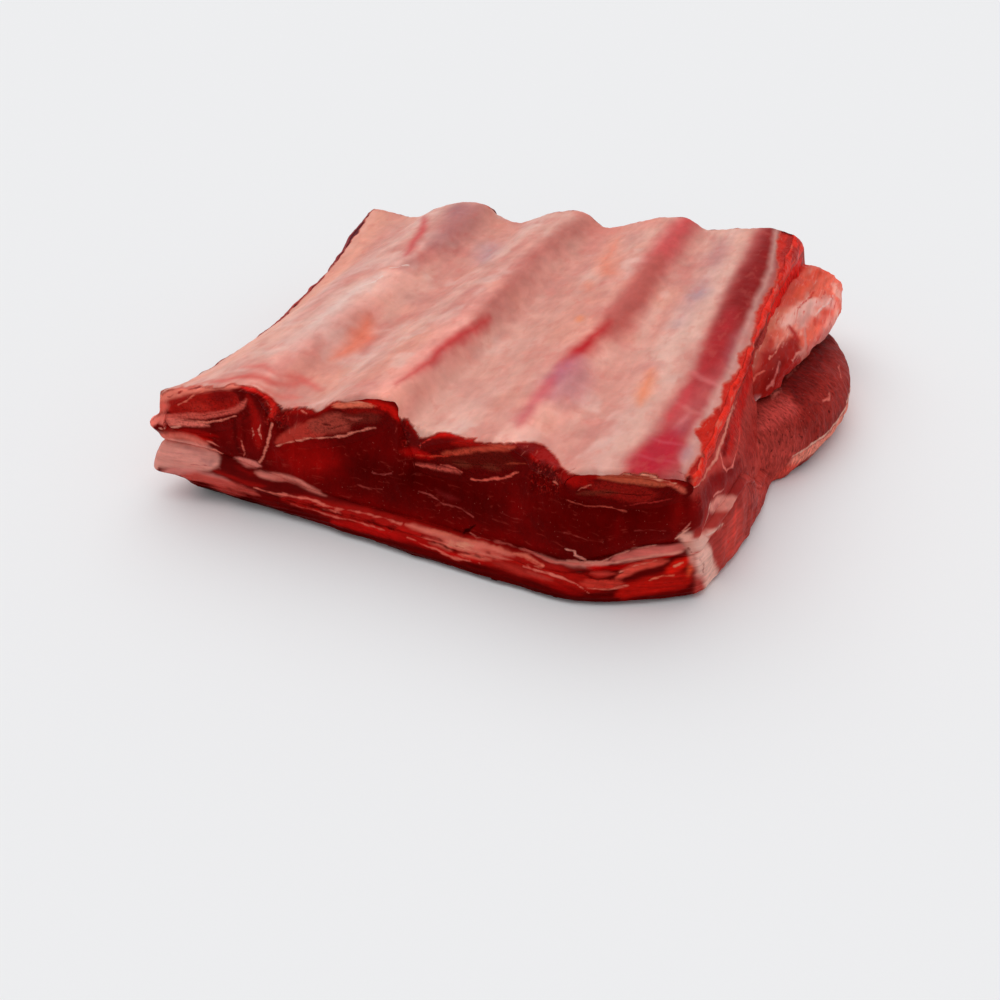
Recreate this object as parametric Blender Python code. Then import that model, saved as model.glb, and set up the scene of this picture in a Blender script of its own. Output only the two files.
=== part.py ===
"""A slab of four beef ribs, cut square: flat rib bones under a thin skin, over layers of muscle and fat.

The slab lies bone side up. It is a stack of closed layers, and two layers that meet share the same
boundary surface, with a small gap. Values are in millimetres, on the slab's own plan: x runs across the
ribs, y from the cut front to the back, z up from the table. At the end the slab is moved so that the
origin lies under the middle of its box.
"""

import bmesh
import bpy
import numpy as np

MM = 0.001
GAP = 0.3
CLEAR = 0.5

# Slab
SLAB_DEPTH = 230.0
ROWS = 10
WALL_RINGS = (0.1, 0.5, 0.9)
BESIDE_BONE = 3.0
EDGE_COLUMNS = 2

# Rib bones: place, size and tilt at the front and at the back
RIB_CENTRE_FRONT = (-95.0, -34.0, 22.0, 87.5)
RIB_CENTRE_BACK = (-60.5, -5.5, 45.5, 95.0)
RIB_HEIGHT_FRONT = (44.5, 49.5, 45.0, 50.5)
RIB_HEIGHT_BACK = (47.6, 47.2, 47.4, 47.5)
RIB_TILT_FRONT = (0.33, 0.44, 0.27, 0.04)
RIB_TILT_BACK = (0.25, 0.25, 0.25, 0.2)
RIB_FULLNESS = (1.05, 1.05, 1.0, 0.75)
RIB_BREADTH_FRONT = (1.0, 1.0, 1.12, 1.0)
RIB_BREADTH_BACK = (0.97, 0.88, 1.0, 0.9)
BONE_WIDTH_FRONT = 47.0
BONE_WIDTH_BACK = 42.0
BONE_EDGE = 3.0
BONE_CROWN = 8.5
BONE_BELLY = 7.0
BONE_COLUMNS = (-1.0, -0.92, -0.7, -0.35, 0.0, 0.35, 0.7, 0.92, 1.0)

# Skin over the bones, and the meat that fills the valleys between them
SKIN_COVER = 2.2
SKIN_BLEND = 2.0
VALLEY_FRONT = 53.0
VALLEY_BACK_LEFT = 48.8
VALLEY_BACK_RIGHT = 55.8
VALLEY_RISES = (-100.0, 100.0)
MARGIN_DROP = ((0, 1.2), (26, 5.2), (50, 6.8), (150, 5.0), (190, -0.5), (212, -4.0))
MARGIN_WIDTH = 22.0

# Plan of the slab, from the table (level 0) up to the skin (level 4)
LEFT_EDGE = (
    ((0, -106), (40, -102), (90, -99), (150, -100), (212, -104)),
    ((0, -124), (18, -117), (50, -107), (90, -103), (150, -104), (212, -108)),
    ((0, -122), (18, -117), (50, -110), (90, -106), (150, -107), (212, -111)),
    ((0, -122), (26, -119), (50, -115), (75, -112), (124, -108.5), (165, -108.5), (212, -112)),
    ((0, -119), (14, -114.5), (32, -112.5), (60, -109), (90, -106.5), (130, -106.5), (212, -110.5)),
)
RIGHT_EDGE = (
    ((-2, 117), (22, 125), (44, 130.5), (84, 134), (120, 133), (160, 128), (240, 125)),
    ((-2, 115), (22, 122), (44, 127.5), (84, 132.5), (120, 131), (160, 127), (240, 125)),
    ((-2, 114), (22, 120), (44, 124.5), (84, 129), (120, 128), (160, 125), (240, 125)),
    ((-2, 112), (38, 113.5), (80, 115.5), (130, 116.5), (175, 118.5), (204, 121.5), (240, 125)),
    ((-2, 112), (230, 118.5)),
)
FRONT_EDGE = (
    ((-106, 7), (-60, -1), (3, -12), (40, -17), (73, -19), (97, -11), (117, 0)),
    ((-122, -1), (-60, -3), (3, -9), (40, -13), (73, -16), (97, -9), (115, 0)),
    ((-122, 0), (-60, 0), (3, -3), (40, -7), (73, -13), (97, -8), (114, 0)),
    ((-122, 1), (-60, 2), (-15, 4), (30, -3), (70, -11), (97, -8), (112, 0)),
    ((-119, 2), (-60, 3), (-15, 5), (30, -2), (70, -10), (97, -7), (112, 0)),
)
BACK_EDGE = ((-112, 212), (-40, 219), (30, 229), (80, 236), (128, 240))
BACK_SWELL = (-2.0, 1.0, 2.0, 1.0, 0.0)
BELLY_OF_WALL = (1.0, 1.5, 2.0, 0.8)
TORN_DEPTH = 0.7
TORN_PITCH = 7.0

# Fat seam: its floor and roof along the front cut, then along the right side
SEAM_FLOOR_FRONT = ((-124, 9), (-62, 10), (3, 9), (40, 10), (66, 12), (82, 16), (102, 21.5), (115, 21))
SEAM_ROOF_FRONT = (
    (-124, 27), (-96, 26), (-72, 20), (-48, 16), (3, 12), (50, 13.5), (70, 16.5), (84, 21.5), (102, 28),
    (115, 27),
)
SEAM_FLOOR_SIDE = ((0, 21), (17, 24), (35, 28), (50, 25), (68, 11), (90, 6.5), (112, 6), (240, 6))
SEAM_ROOF_SIDE = ((0, 27.5), (17, 30), (35, 32), (50, 29), (68, 15), (90, 10), (112, 9.5), (240, 9.5))
SEAM_FLOOR_INNER = 11.0
SEAM_ROOF_INNER = 16.0
SEAM_LEAST = 2.6
SEAM_SETTLES = 60.0
SIDE_ZONE = 30.0
LUMP_SWELL = 4.0
LUMP_SPREAD = 20.0

# Lobe of outer muscle that bulges from the right side, and the shelf of fat behind it: (y, size) profiles
LOBE_ROOT = 117.0
LOBE_REACH = (
    (86, 131), (92, 140), (108, 149), (124, 156), (145, 160.5), (168, 159.5), (188, 155), (206, 148),
    (225, 128),
)
LOBE_TOP = ((86, 31), (94, 37), (120, 38), (150, 37), (172, 35), (192, 32), (225, 20))
SHELF_ROOT = 113.0
SHELF_REACH = (
    (94, 121), (104, 128), (120, 133), (147, 138.5), (165, 143), (183, 145.5), (210, 147.5), (236, 147),
)
SHELF_TOP = ((94, 46), (104, 49), (120, 50), (147, 49.5), (183, 48), (210, 47.5), (236, 46.5))
SHELF_DEPTH = ((94, 3), (104, 7), (120, 9), (147, 10), (165, 11), (183, 14), (210, 21), (236, 28))
SHELF_DROOP = 5.0
LOBE_ROUNDNESS = 0.9
LOBE_UNDERCUT = 0.25
SHELF_ROUNDNESS = 0.6
SIDE_SECTIONS = 12
SIDE_CORNERS = 14

# Colour and roughness of each material
FINISHES = {
    "rib_meat": ((0.66, 0.32, 0.28), 0.4),
    "rib_bone": ((0.45, 0.17, 0.11), 0.5),
    "main_muscle": ((0.25, 0.015, 0.012), 0.45),
    "fat_seam": ((0.62, 0.33, 0.27), 0.45),
    "lower_muscle": ((0.36, 0.05, 0.04), 0.5),
    "outer_muscle": ((0.22, 0.03, 0.03), 0.5),
    "fat_flap": ((0.72, 0.33, 0.26), 0.45),
}


def curve(points, t):
    """Smooth curve through a few (place, value) points."""
    xs, ys = np.array(points, dtype=float).T
    slope = np.gradient(ys, xs)
    t = min(max(t, xs[0]), xs[-1])
    i = min(max(int(np.searchsorted(xs, t)) - 1, 0), len(xs) - 2)
    width = xs[i + 1] - xs[i]
    s = (t - xs[i]) / width
    start = ys[i] * (1 + 2 * s) * (1 - s) ** 2 + slope[i] * width * s * (1 - s) ** 2
    end = ys[i + 1] * s**2 * (3 - 2 * s) + slope[i + 1] * width * s**2 * (s - 1)
    return float(start + end)


def mix(a, b, s):
    """Value at share s of the way from a to b."""
    return a + (b - a) * s


def ease(s):
    """Share from 0 to 1 with a soft start and end."""
    s = min(max(s, 0.0), 1.0)
    return s * s * (3 - 2 * s)


def fan(front, back, y):
    """One value for each rib at depth y, between its front and back values."""
    return [mix(a, b, y / SLAB_DEPTH) for a, b in zip(front, back)]


def rib_centres(y):
    return fan(RIB_CENTRE_FRONT, RIB_CENTRE_BACK, y)


def bone_half_widths(y):
    width = mix(BONE_WIDTH_FRONT, BONE_WIDTH_BACK, y / SLAB_DEPTH)
    return [width / 2 * breadth for breadth in fan(RIB_BREADTH_FRONT, RIB_BREADTH_BACK, y)]


def bone_axis(x, y):
    """Mid height of the bones; between two ribs it runs straight from one bone's edge to the next."""
    ribs = zip(
        rib_centres(y),
        bone_half_widths(y),
        fan(RIB_HEIGHT_FRONT, RIB_HEIGHT_BACK, y),
        fan(RIB_TILT_FRONT, RIB_TILT_BACK, y),
    )
    edges = []
    for middle, half, height, tilt in ribs:
        edges += [(middle + side * half, height + side * tilt * half) for side in (-1, 1)]
    return float(np.interp(x, *np.array(edges).T))


def bone_bulge(x, y):
    """0 between the ribs and at a bone's edges, about 1 along its middle."""
    bulge = 0.0
    for centre, half, fullness in zip(rib_centres(y), bone_half_widths(y), RIB_FULLNESS):
        across = (x - centre) / half
        bulge = max(bulge, fullness * max(0.0, 1 - across**2) ** 0.5)
    return bulge


def bone_top(x, y):
    return bone_axis(x, y) + BONE_EDGE / 2 + BONE_CROWN * bone_bulge(x, y)


def bone_bottom(x, y):
    return bone_axis(x, y) - BONE_EDGE / 2 - BONE_BELLY * bone_bulge(x, y)


def skin(x, y):
    """Height of the skin: it lies over the crown of each bone and sags into the valleys between."""
    back_valley = float(np.interp(x, VALLEY_RISES, (VALLEY_BACK_LEFT, VALLEY_BACK_RIGHT)))
    valley = mix(VALLEY_FRONT, back_valley, y / SLAB_DEPTH)
    valley -= curve(MARGIN_DROP, y) * ease(1 - (x - curve(LEFT_EDGE[4], y)) / MARGIN_WIDTH)
    crown = bone_top(x, y) + SKIN_COVER
    return (valley + crown + ((valley - crown) ** 2 + SKIN_BLEND**2) ** 0.5) / 2


def seam(x, y, front_line, side_line, inner):
    """Height of a face of the fat seam: as cut at the front and on the right side, level inside."""
    depth = ease((y - curve(FRONT_EDGE[2], x)) / SEAM_SETTLES)
    side = ease(1 - (curve(RIGHT_EDGE[2], y) - x) / SIDE_ZONE)
    return mix(mix(curve(front_line, x), inner, depth), curve(side_line, y), side)


def seam_floor(x, y):
    return seam(x, y, SEAM_FLOOR_FRONT, SEAM_FLOOR_SIDE, SEAM_FLOOR_INNER)


def seam_roof(x, y):
    roof = seam(x, y, SEAM_ROOF_FRONT, SEAM_ROOF_SIDE, SEAM_ROOF_INNER)
    return max(roof, seam_floor(x, y) + SEAM_LEAST)


def columns(y, left, right, beside):
    """Places across the slab: both edges, each bone's own columns, and one at each side of every bone."""
    xs = []
    for centre, half in zip(rib_centres(y), bone_half_widths(y)):
        xs.append(centre - half - beside)
        xs += [centre + half * share for share in BONE_COLUMNS]
        xs.append(centre + half + beside)
    xs = [left, mix(left, xs[0], 0.5)] + xs + [mix(xs[-1], right, 0.5), right]
    for i in range(1, len(xs)):
        xs[i] = max(xs[i], xs[i - 1] + GAP)
    xs[-1] = right
    for i in range(len(xs) - 2, -1, -1):
        xs[i] = min(xs[i], xs[i + 1] - GAP)
    return xs


def first_column(rib):
    """Index of a bone's first column in a row."""
    return EDGE_COLUMNS + 1 + rib * (len(BONE_COLUMNS) + 2)


def plan(level, beside=BESIDE_BONE, grow=0.0):
    """Rows of (x, y) over the slab's outline at one level."""
    rows = []
    for r in range(ROWS):
        share = r / (ROWS - 1)
        y = SLAB_DEPTH * share
        left = curve(LEFT_EDGE[level], y) - grow
        right = curve(RIGHT_EDGE[level], y) + grow
        row = []
        for x in columns(y, left, right, beside):
            front = curve(FRONT_EDGE[level], x) - grow
            back = curve(BACK_EDGE, x) + BACK_SWELL[level] + grow
            row.append((x, mix(front, back, share)))
        rows.append(row)
    return rows


def raised(rows, height, lift=0.0):
    """Puts a plan's points at the height that a function gives, as an array of rows of (x, y, z)."""
    return np.array([[(x, y, height(x, y) + lift) for x, y in row] for row in rows])


def around_bones(rows, over):
    """The face that lies against the bones, over their crowns or under their bellies."""
    face = raised(rows, bone_axis, -BONE_EDGE / 2 - (0.0 if over else GAP))
    for rib in range(len(RIB_FULLNESS)):
        start = first_column(rib)
        for r, row in enumerate(rows):
            for c in range(start, start + len(BONE_COLUMNS)):
                x, y = row[c]
                face[r, c, 2] = bone_top(x, y) + GAP if over else bone_bottom(x, y) - GAP
    return face


def rim(face):
    """The outline of a face, counterclockwise from its front left corner."""
    front, right = face[0], face[1:, -1]
    back, left = face[-1, -2::-1], face[-2:0:-1, 0]
    return np.concatenate([front, right, back, left])


def outward(loop):
    """Level directions that point away from the slab at each point of its outline."""
    along = np.roll(loop, -1, axis=0) - np.roll(loop, 1, axis=0)
    away = np.stack([along[:, 1], -along[:, 0], np.zeros(len(loop))], axis=1)
    return away / np.linalg.norm(away, axis=1)[:, None]


def torn(points):
    """Shallow waves that a knife and the grain leave in a cut wall."""
    x, y, z = points.T / TORN_PITCH
    return TORN_DEPTH * np.sin(x + 0.7 * y + 2.1 * np.sin(0.6 * z)) * np.cos(0.8 * x - y + 1.3 * z)


def wall_rings(low, high, swell, lump):
    """Rings between the outlines of two faces, bowed outward."""
    away = outward((low + high) / 2)
    rings = []
    for share in WALL_RINGS:
        ring = mix(low, high, share)
        bow = swell * 4 * share * (1 - share)
        corner = np.hypot(ring[:, 0] - low[0, 0], ring[:, 1] - low[0, 1])
        extra = lump * (4 * share * (1 - share)) * np.exp(-((corner / LUMP_SPREAD) ** 2))
        rings.append(ring + away * (bow + extra + torn(ring))[:, None])
    return rings


def grid_triangles(start, rows, cols, up):
    """Triangles of a grid of points, all split along the same diagonal."""
    faces = []
    for r in range(rows - 1):
        for c in range(cols - 1):
            a = start + r * cols + c
            b, d, e = a + 1, a + cols, a + cols + 1
            faces += [(a, b, e), (a, e, d)] if up else [(a, e, b), (a, d, e)]
    return faces


def rim_indices(start, rows, cols):
    index = np.arange(rows * cols).reshape(rows, cols) + start
    return list(np.concatenate([index[0], index[1:, -1], index[-1, -2::-1], index[-2:0:-1, 0]]))


def strip(lower, upper):
    """Triangles of a wall between two closed loops of point numbers, facing outward."""
    faces = []
    count = len(lower)
    for i in range(count):
        j = (i + 1) % count
        faces += [(lower[i], lower[j], upper[j]), (lower[i], upper[j], upper[i])]
    return faces


def layer_mesh(low, high, swell, lump):
    """Points and triangles of a closed layer between a lower and an upper face of equal grids."""
    return closed_mesh(low, wall_rings(rim(low), rim(high), swell, lump), high)


def body_mesh(grow):
    """The four layers as one closed solid, larger all round, to cut what leans against them."""
    stack = layers(grow)
    rings = []
    for low, high, swell, lump in stack:
        rings += wall_rings(rim(low), rim(high), swell, lump) + [rim(high)]
    return closed_mesh(stack[0][0], rings[:-1], stack[-1][1])


def closed_mesh(low, rings, high):
    """Points and triangles of a solid with a lower face, rings up its wall, and an upper face."""
    rows, cols = low.shape[:2]
    size = rows * cols
    points = [low.reshape(-1, 3), high.reshape(-1, 3)]
    faces = grid_triangles(0, rows, cols, up=False) + grid_triangles(size, rows, cols, up=True)
    loops = [rim_indices(0, rows, cols)]
    start = 2 * size
    for ring in rings:
        points.append(ring)
        loops.append(list(range(start, start + len(ring))))
        start += len(ring)
    loops.append(rim_indices(size, rows, cols))
    for lower, upper in zip(loops, loops[1:]):
        faces += strip(lower, upper)
    return np.concatenate(points), faces


def tube_mesh(sections):
    """Points and triangles of a closed solid through sections of equal length, each seen from the front
    counterclockwise."""
    count = len(sections[0])
    points = np.concatenate(sections)
    faces = []
    for k in range(len(sections) - 1):
        near = [k * count + i for i in range(count)]
        far = [(k + 1) * count + i for i in range(count)]
        faces += strip(far, near)
    apex = count - 1
    last = len(points) - count
    for i in range(count - 2):
        faces.append((apex, i, i + 1))
        faces.append((last + apex, last + i + 1, last + i))
    return points, faces


def bone_mesh(rib, rows):
    """A flat rib, cut square at both ends."""
    start = first_column(rib)
    sections = []
    for row in rows:
        places = row[start : start + len(BONE_COLUMNS)]
        under = [[x, y, bone_bottom(x, y)] for x, y in places]
        over = [[x, y, bone_top(x, y)] for x, y in places]
        for line in (under, over):
            line[0][0] += GAP
            line[-1][0] -= GAP
        sections.append(np.array(under + over[::-1]))
    return tube_mesh(sections)


def rounded(left, right, bottom, top, y, softness):
    """A rounded box section with its inner edge left plain."""
    section = []
    for i in range(SIDE_CORNERS):
        angle = -np.pi / 2 + np.pi * i / (SIDE_CORNERS - 1)
        across = abs(np.cos(angle)) ** softness
        up = np.sign(np.sin(angle)) * abs(np.sin(angle)) ** softness
        section.append((mix(left, right, across), y, (top + bottom) / 2 + (top - bottom) / 2 * up))
    return section


def lobe_mesh(grow=0.0):
    """Muscle that bulges from the side and lies on the table."""
    first, last = LOBE_REACH[0][0], LOBE_REACH[-1][0]
    sections = []
    for k in range(SIDE_SECTIONS):
        y = mix(first, last, k / (SIDE_SECTIONS - 1))
        top = curve(LOBE_TOP, y) + grow
        right = curve(LOBE_REACH, y) + grow
        section = rounded(LOBE_ROOT, right, -LOBE_UNDERCUT * top, top, y, LOBE_ROUNDNESS)
        sections.append(np.array([(x, y, max(z, -grow)) for x, y, z in section]))
    sections[0][:, 1] -= grow
    sections[-1][:, 1] += grow
    return tube_mesh(sections)


def shelf_mesh():
    """Shelf of fat that widens toward the back and hangs over the side."""
    first, last = SHELF_REACH[0][0], SHELF_REACH[-1][0]
    sections = []
    for k in range(SIDE_SECTIONS):
        y = mix(first, last, k / (SIDE_SECTIONS - 1))
        top = curve(SHELF_TOP, y)
        reach = curve(SHELF_REACH, y)
        section = rounded(SHELF_ROOT, reach, top - curve(SHELF_DEPTH, y), top, y, SHELF_ROUNDNESS)
        slope = SHELF_DROOP / (reach - SHELF_ROOT)
        sections.append(np.array([(x, y, z - slope * (x - SHELF_ROOT)) for x, y, z in section]))
    return tube_mesh(sections)


def solid(name, points, faces):
    """A named object in metres from points in millimetres."""
    mesh = bpy.data.meshes.new(name)
    mesh.from_pydata([tuple(p * MM) for p in points], [], [tuple(int(i) for i in face) for face in faces])
    mesh.shade_smooth()
    item = bpy.data.objects.new(name, mesh)
    bpy.context.scene.collection.objects.link(item)
    return item


def finish(item):
    """Gives a piece its own material."""
    colour, roughness = FINISHES[item.name.rstrip("_1234")]
    material = bpy.data.materials.new(item.name)
    material.use_nodes = True
    shader = material.node_tree.nodes["Principled BSDF"]
    shader.inputs["Base Color"].default_value = (*colour, 1.0)
    shader.inputs["Roughness"].default_value = roughness
    shader.inputs["Metallic"].default_value = 0.0
    item.data.materials.clear()
    item.data.materials.append(material)


def carve(item, meshes):
    """Cuts neighbours out of a piece, and removes what small scraps the cut leaves."""
    cutters = [solid("cut", *mesh) for mesh in meshes]
    for cutter in cutters:
        cut = item.modifiers.new("Clear", "BOOLEAN")
        cut.operation = "DIFFERENCE"
        cut.solver = "EXACT"
        cut.object = cutter
    graph = bpy.context.evaluated_depsgraph_get()
    mesh = bpy.data.meshes.new_from_object(item.evaluated_get(graph))
    item.modifiers.clear()
    item.data = mesh
    keep_largest(mesh)
    for cutter in cutters:
        bpy.data.objects.remove(cutter)


def keep_largest(mesh):
    """Removes all but the largest of a mesh's separate bodies."""
    work = bmesh.new()
    work.from_mesh(mesh)
    left = set(work.verts)
    groups = []
    while left:
        seed = left.pop()
        group, front = {seed}, [seed]
        while front:
            vert = front.pop()
            for edge in vert.link_edges:
                other = edge.other_vert(vert)
                if other not in group:
                    group.add(other)
                    front.append(other)
        left -= group
        groups.append(group)
    groups.sort(key=len)
    for group in groups[:-1]:
        bmesh.ops.delete(work, geom=list(group), context="VERTS")
    work.to_mesh(mesh)
    work.free()


def centre(items):
    """Moves the slab so that the origin is under the middle of its box."""
    corners = np.array([v.co for item in items for v in item.data.vertices])
    low, high = corners.min(axis=0), corners.max(axis=0)
    shift = np.array([(low[0] + high[0]) / 2, (low[1] + high[1]) / 2, low[2]])
    for item in items:
        for vert in item.data.vertices:
            vert.co = [vert.co[k] - shift[k] for k in range(3)]
    print("plan middle in mm", np.round(shift / MM, 3), "size", np.round((high - low) / MM, 1))


def layers(grow=0.0):
    """Lower face, upper face, bow of the wall and swell of the front left corner for each layer, from the
    table up. With a grow, their outline is that much larger."""
    table, seam_low, seam_high, skin_plan = [plan(level, grow=grow) for level in (0, 1, 2, 4)]
    bone_plan = plan(3, GAP, grow)
    half = GAP / 2
    swell = [bow + grow / 2 for bow in BELLY_OF_WALL]
    lower = (raised(table, lambda x, y: -grow), raised(seam_low, seam_floor, -half), swell[0], 0)
    fat = (raised(seam_low, seam_floor, half), raised(seam_high, seam_roof, -half), swell[1], LUMP_SWELL)
    muscle = (raised(seam_high, seam_roof, half), around_bones(bone_plan, over=False), swell[2], 0)
    ribs = (around_bones(bone_plan, over=True), raised(skin_plan, skin, grow), swell[3], 0)
    return lower, fat, muscle, ribs


def main():
    for old in list(bpy.data.objects):
        bpy.data.objects.remove(old)

    names = ("lower_muscle", "fat_seam", "main_muscle", "rib_meat")
    items = [solid(name, *layer_mesh(*layer)) for name, layer in zip(names, layers())]
    bone_plan = plan(3, beside=GAP)
    for rib in range(len(RIB_FULLNESS)):
        items.append(solid(f"rib_bone_{rib + 1}", *bone_mesh(rib, bone_plan)))

    lobe = solid("outer_muscle", *lobe_mesh())
    carve(lobe, [body_mesh(CLEAR)])
    shelf = solid("fat_flap", *shelf_mesh())
    carve(shelf, [body_mesh(CLEAR), lobe_mesh(CLEAR)])
    items += [lobe, shelf]
    centre(items)
    for item in items:
        finish(item)


main()
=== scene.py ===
# %% [markdown]
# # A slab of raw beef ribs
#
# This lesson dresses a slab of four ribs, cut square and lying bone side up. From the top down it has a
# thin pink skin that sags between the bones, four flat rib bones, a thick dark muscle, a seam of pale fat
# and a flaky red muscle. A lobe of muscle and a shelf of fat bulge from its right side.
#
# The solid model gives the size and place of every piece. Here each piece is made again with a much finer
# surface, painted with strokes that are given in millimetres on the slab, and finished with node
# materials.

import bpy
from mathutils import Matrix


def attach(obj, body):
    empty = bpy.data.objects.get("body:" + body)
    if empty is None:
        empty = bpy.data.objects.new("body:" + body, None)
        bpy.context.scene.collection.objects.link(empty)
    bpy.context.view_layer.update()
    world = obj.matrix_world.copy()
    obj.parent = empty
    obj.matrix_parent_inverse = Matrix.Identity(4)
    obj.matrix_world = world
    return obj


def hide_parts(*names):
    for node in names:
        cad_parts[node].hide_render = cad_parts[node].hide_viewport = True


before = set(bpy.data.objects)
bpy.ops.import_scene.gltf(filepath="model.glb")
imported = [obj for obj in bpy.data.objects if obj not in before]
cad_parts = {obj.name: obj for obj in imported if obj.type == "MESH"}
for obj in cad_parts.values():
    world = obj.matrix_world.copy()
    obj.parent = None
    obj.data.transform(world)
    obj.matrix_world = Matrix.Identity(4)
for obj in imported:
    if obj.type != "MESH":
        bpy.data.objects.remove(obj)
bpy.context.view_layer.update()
print("solid model:", sorted(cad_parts))

# %% Tools and units
import itertools

import bpy
import numpy as np
from mathutils import Vector
from mathutils.geometry import delaunay_2d_cdt

MM = 0.001
PLAN_MIDDLE = np.array([16.098, 111.926, 0.0])

# %% [markdown]
# ## Camera, floor and light
#
# Food is photographed from above and a little to one side. The camera looks 35 degrees down and stands 18
# degrees to the right of the cut front. The light is one very wide sun from above, a little from the left
# and behind, with an even sky. So the skin is bright, its ridges are softly shaded, and the cut sides lie
# in shade. A pale floor throws some of the light back on to them.

# %% Camera
CAMERA_PLACE = (0.1472997, -0.5040459, 0.3214756)
CAMERA_DOWN = 35.29
CAMERA_TURN = 18.25
LENS_MM = 45.0
NEAREST_SEEN = 0.01

scene = bpy.context.scene
scene.view_settings.view_transform = "Standard"

camera = bpy.data.objects.new("camera", bpy.data.cameras.new("camera"))
scene.collection.objects.link(camera)
scene.camera = camera
camera.data.lens = LENS_MM
camera.data.clip_start = NEAREST_SEEN
camera.location = CAMERA_PLACE
camera.rotation_euler = np.radians((90 - CAMERA_DOWN, 0, CAMERA_TURN))
print("camera looks", CAMERA_DOWN, "degrees down")

# %% Sun and sky
SUN_POWER = 1.6
SUN_WIDTH = 85
SUN_TILT = (-17, -16, 0)
SKY = (0.52, 0.525, 0.54)

lamp = bpy.data.objects.new("sun", bpy.data.lights.new("sun", "SUN"))
lamp.data.energy = SUN_POWER
lamp.data.angle = np.radians(SUN_WIDTH)
lamp.rotation_euler = np.radians(SUN_TILT)
scene.collection.objects.link(lamp)
world = bpy.data.worlds.new("sky")
world.use_nodes = True
world.node_tree.nodes["Background"].inputs["Color"].default_value = (*SKY, 1)
scene.world = world
print("sun", SUN_WIDTH, "degrees wide")

# %% Floor
FLOOR_SIDE = 12.0
FLOOR_GREY = 0.86
FLOOR_GAP = 0.0004
FLOOR_DULLNESS = 0.9

bpy.ops.mesh.primitive_plane_add(size=FLOOR_SIDE, location=(0, 0, -FLOOR_GAP))
floor = bpy.context.object
floor.name = "floor"
paint_of_floor = bpy.data.materials.new("floor")
paint_of_floor.use_nodes = True
floor_shader = paint_of_floor.node_tree.nodes["Principled BSDF"]
floor_shader.inputs["Base Color"].default_value = (FLOOR_GREY, FLOOR_GREY, FLOOR_GREY, 1)
floor_shader.inputs["Roughness"].default_value = FLOOR_DULLNESS
floor_shader.inputs["Specular IOR Level"].default_value = 0.0
floor.data.materials.append(paint_of_floor)
print("floor", FLOOR_SIDE, "m wide")

# %% [markdown]
# ## Curves and grain
#
# Every form below is a formula. `curve` draws a smooth line through a few measured points, and `lumps` is
# a repeatable random relief: it gives each corner of a lattice its own number and blends them smoothly,
# so that the slab comes out the same each time.

# %% Curve, mix and ease
def curve(points, t):
    """Smooth curve through a few (place, value) points, for an array of places."""
    xs, ys = np.array(points, float).T
    slope = np.gradient(ys, xs)
    t = np.clip(t, xs[0], xs[-1])
    i = np.clip(np.searchsorted(xs, t) - 1, 0, len(xs) - 2)
    width = xs[i + 1] - xs[i]
    s = (t - xs[i]) / width
    start = ys[i] * (1 + 2 * s) * (1 - s) ** 2 + slope[i] * width * s * (1 - s) ** 2
    end = ys[i + 1] * s**2 * (3 - 2 * s) + slope[i + 1] * width * s**2 * (s - 1)
    return start + end


def mix(a, b, s):
    """From a to b as s goes from 0 to 1."""
    return a + (b - a) * s


def ease(s):
    """From 0 to 1 with a soft start and end."""
    s = np.clip(s, 0, 1)
    return s * s * (3 - 2 * s)

# %% Repeatable relief
LATTICE_STEPS = np.array([73856093, 19349663, 83492791])


def lattice(cells, seed):
    """A repeatable number from -1 to 1 for each whole-numbered cell."""
    number = cells.astype(np.int64) @ LATTICE_STEPS + seed * 2654435761
    number = (number ^ (number >> 13)) * 1274126177
    number ^= number >> 16
    return (number & 0xFFFF) / 32767.5 - 1


def lumps(points, size, seed=0):
    """Smooth relief from -1 to 1, with lumps of about that size in mm."""
    at = points / np.array(size, float)
    cell = np.floor(at)
    share = ease(at - cell)
    total = 0
    for corner in itertools.product((0, 1), repeat=3):
        weight = np.where(np.array(corner, bool), share, 1 - share).prod(axis=-1)
        total = total + weight * lattice(cell + corner, seed)
    return total


def rough(points, size, seed=0, octaves=3):
    """Lumps with finer lumps on them."""
    size = np.array(size, float)
    return sum(lumps(points, size / 2**k, seed + k) / 2**k for k in range(octaves))


print("relief at one place, in lumps of 9 mm:", rough(np.ones((1, 3)), 9.0).round(3))

# %% [markdown]
# ## The form of the slab
#
# The slab has five outlines, one above the other: at the table, under and over the fat seam, at the
# height of the bones, and at the skin. All measures are in millimetres on the slab's own plan: x runs
# across the ribs, y from the cut front to the back, and z up from the table.

# %% Measures of the slab
SLAB_DEPTH = 230.0
LEFT_EDGE = (
    ((0, -106), (40, -102), (90, -99), (150, -100), (212, -104)),
    ((0, -124), (18, -117), (50, -107), (90, -103), (150, -104), (212, -108)),
    ((0, -122), (18, -117), (50, -110), (90, -106), (150, -107), (212, -111)),
    ((0, -122), (26, -119), (50, -115), (75, -112), (124, -108.5), (165, -108.5), (212, -112)),
    ((0, -119), (14, -114.5), (32, -112.5), (60, -109), (90, -106.5), (130, -106.5), (212, -110.5)),
)
RIGHT_EDGE = (
    ((-2, 117), (22, 125), (44, 130.5), (84, 134), (120, 133), (160, 128), (240, 125)),
    ((-2, 115), (22, 122), (44, 127.5), (84, 132.5), (120, 131), (160, 127), (240, 125)),
    ((-2, 114), (22, 120), (44, 124.5), (84, 129), (120, 128), (160, 125), (240, 125)),
    ((-2, 112), (38, 113.5), (80, 115.5), (130, 116.5), (175, 118.5), (204, 121.5), (240, 125)),
    ((-2, 112), (230, 118.5)),
)
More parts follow.
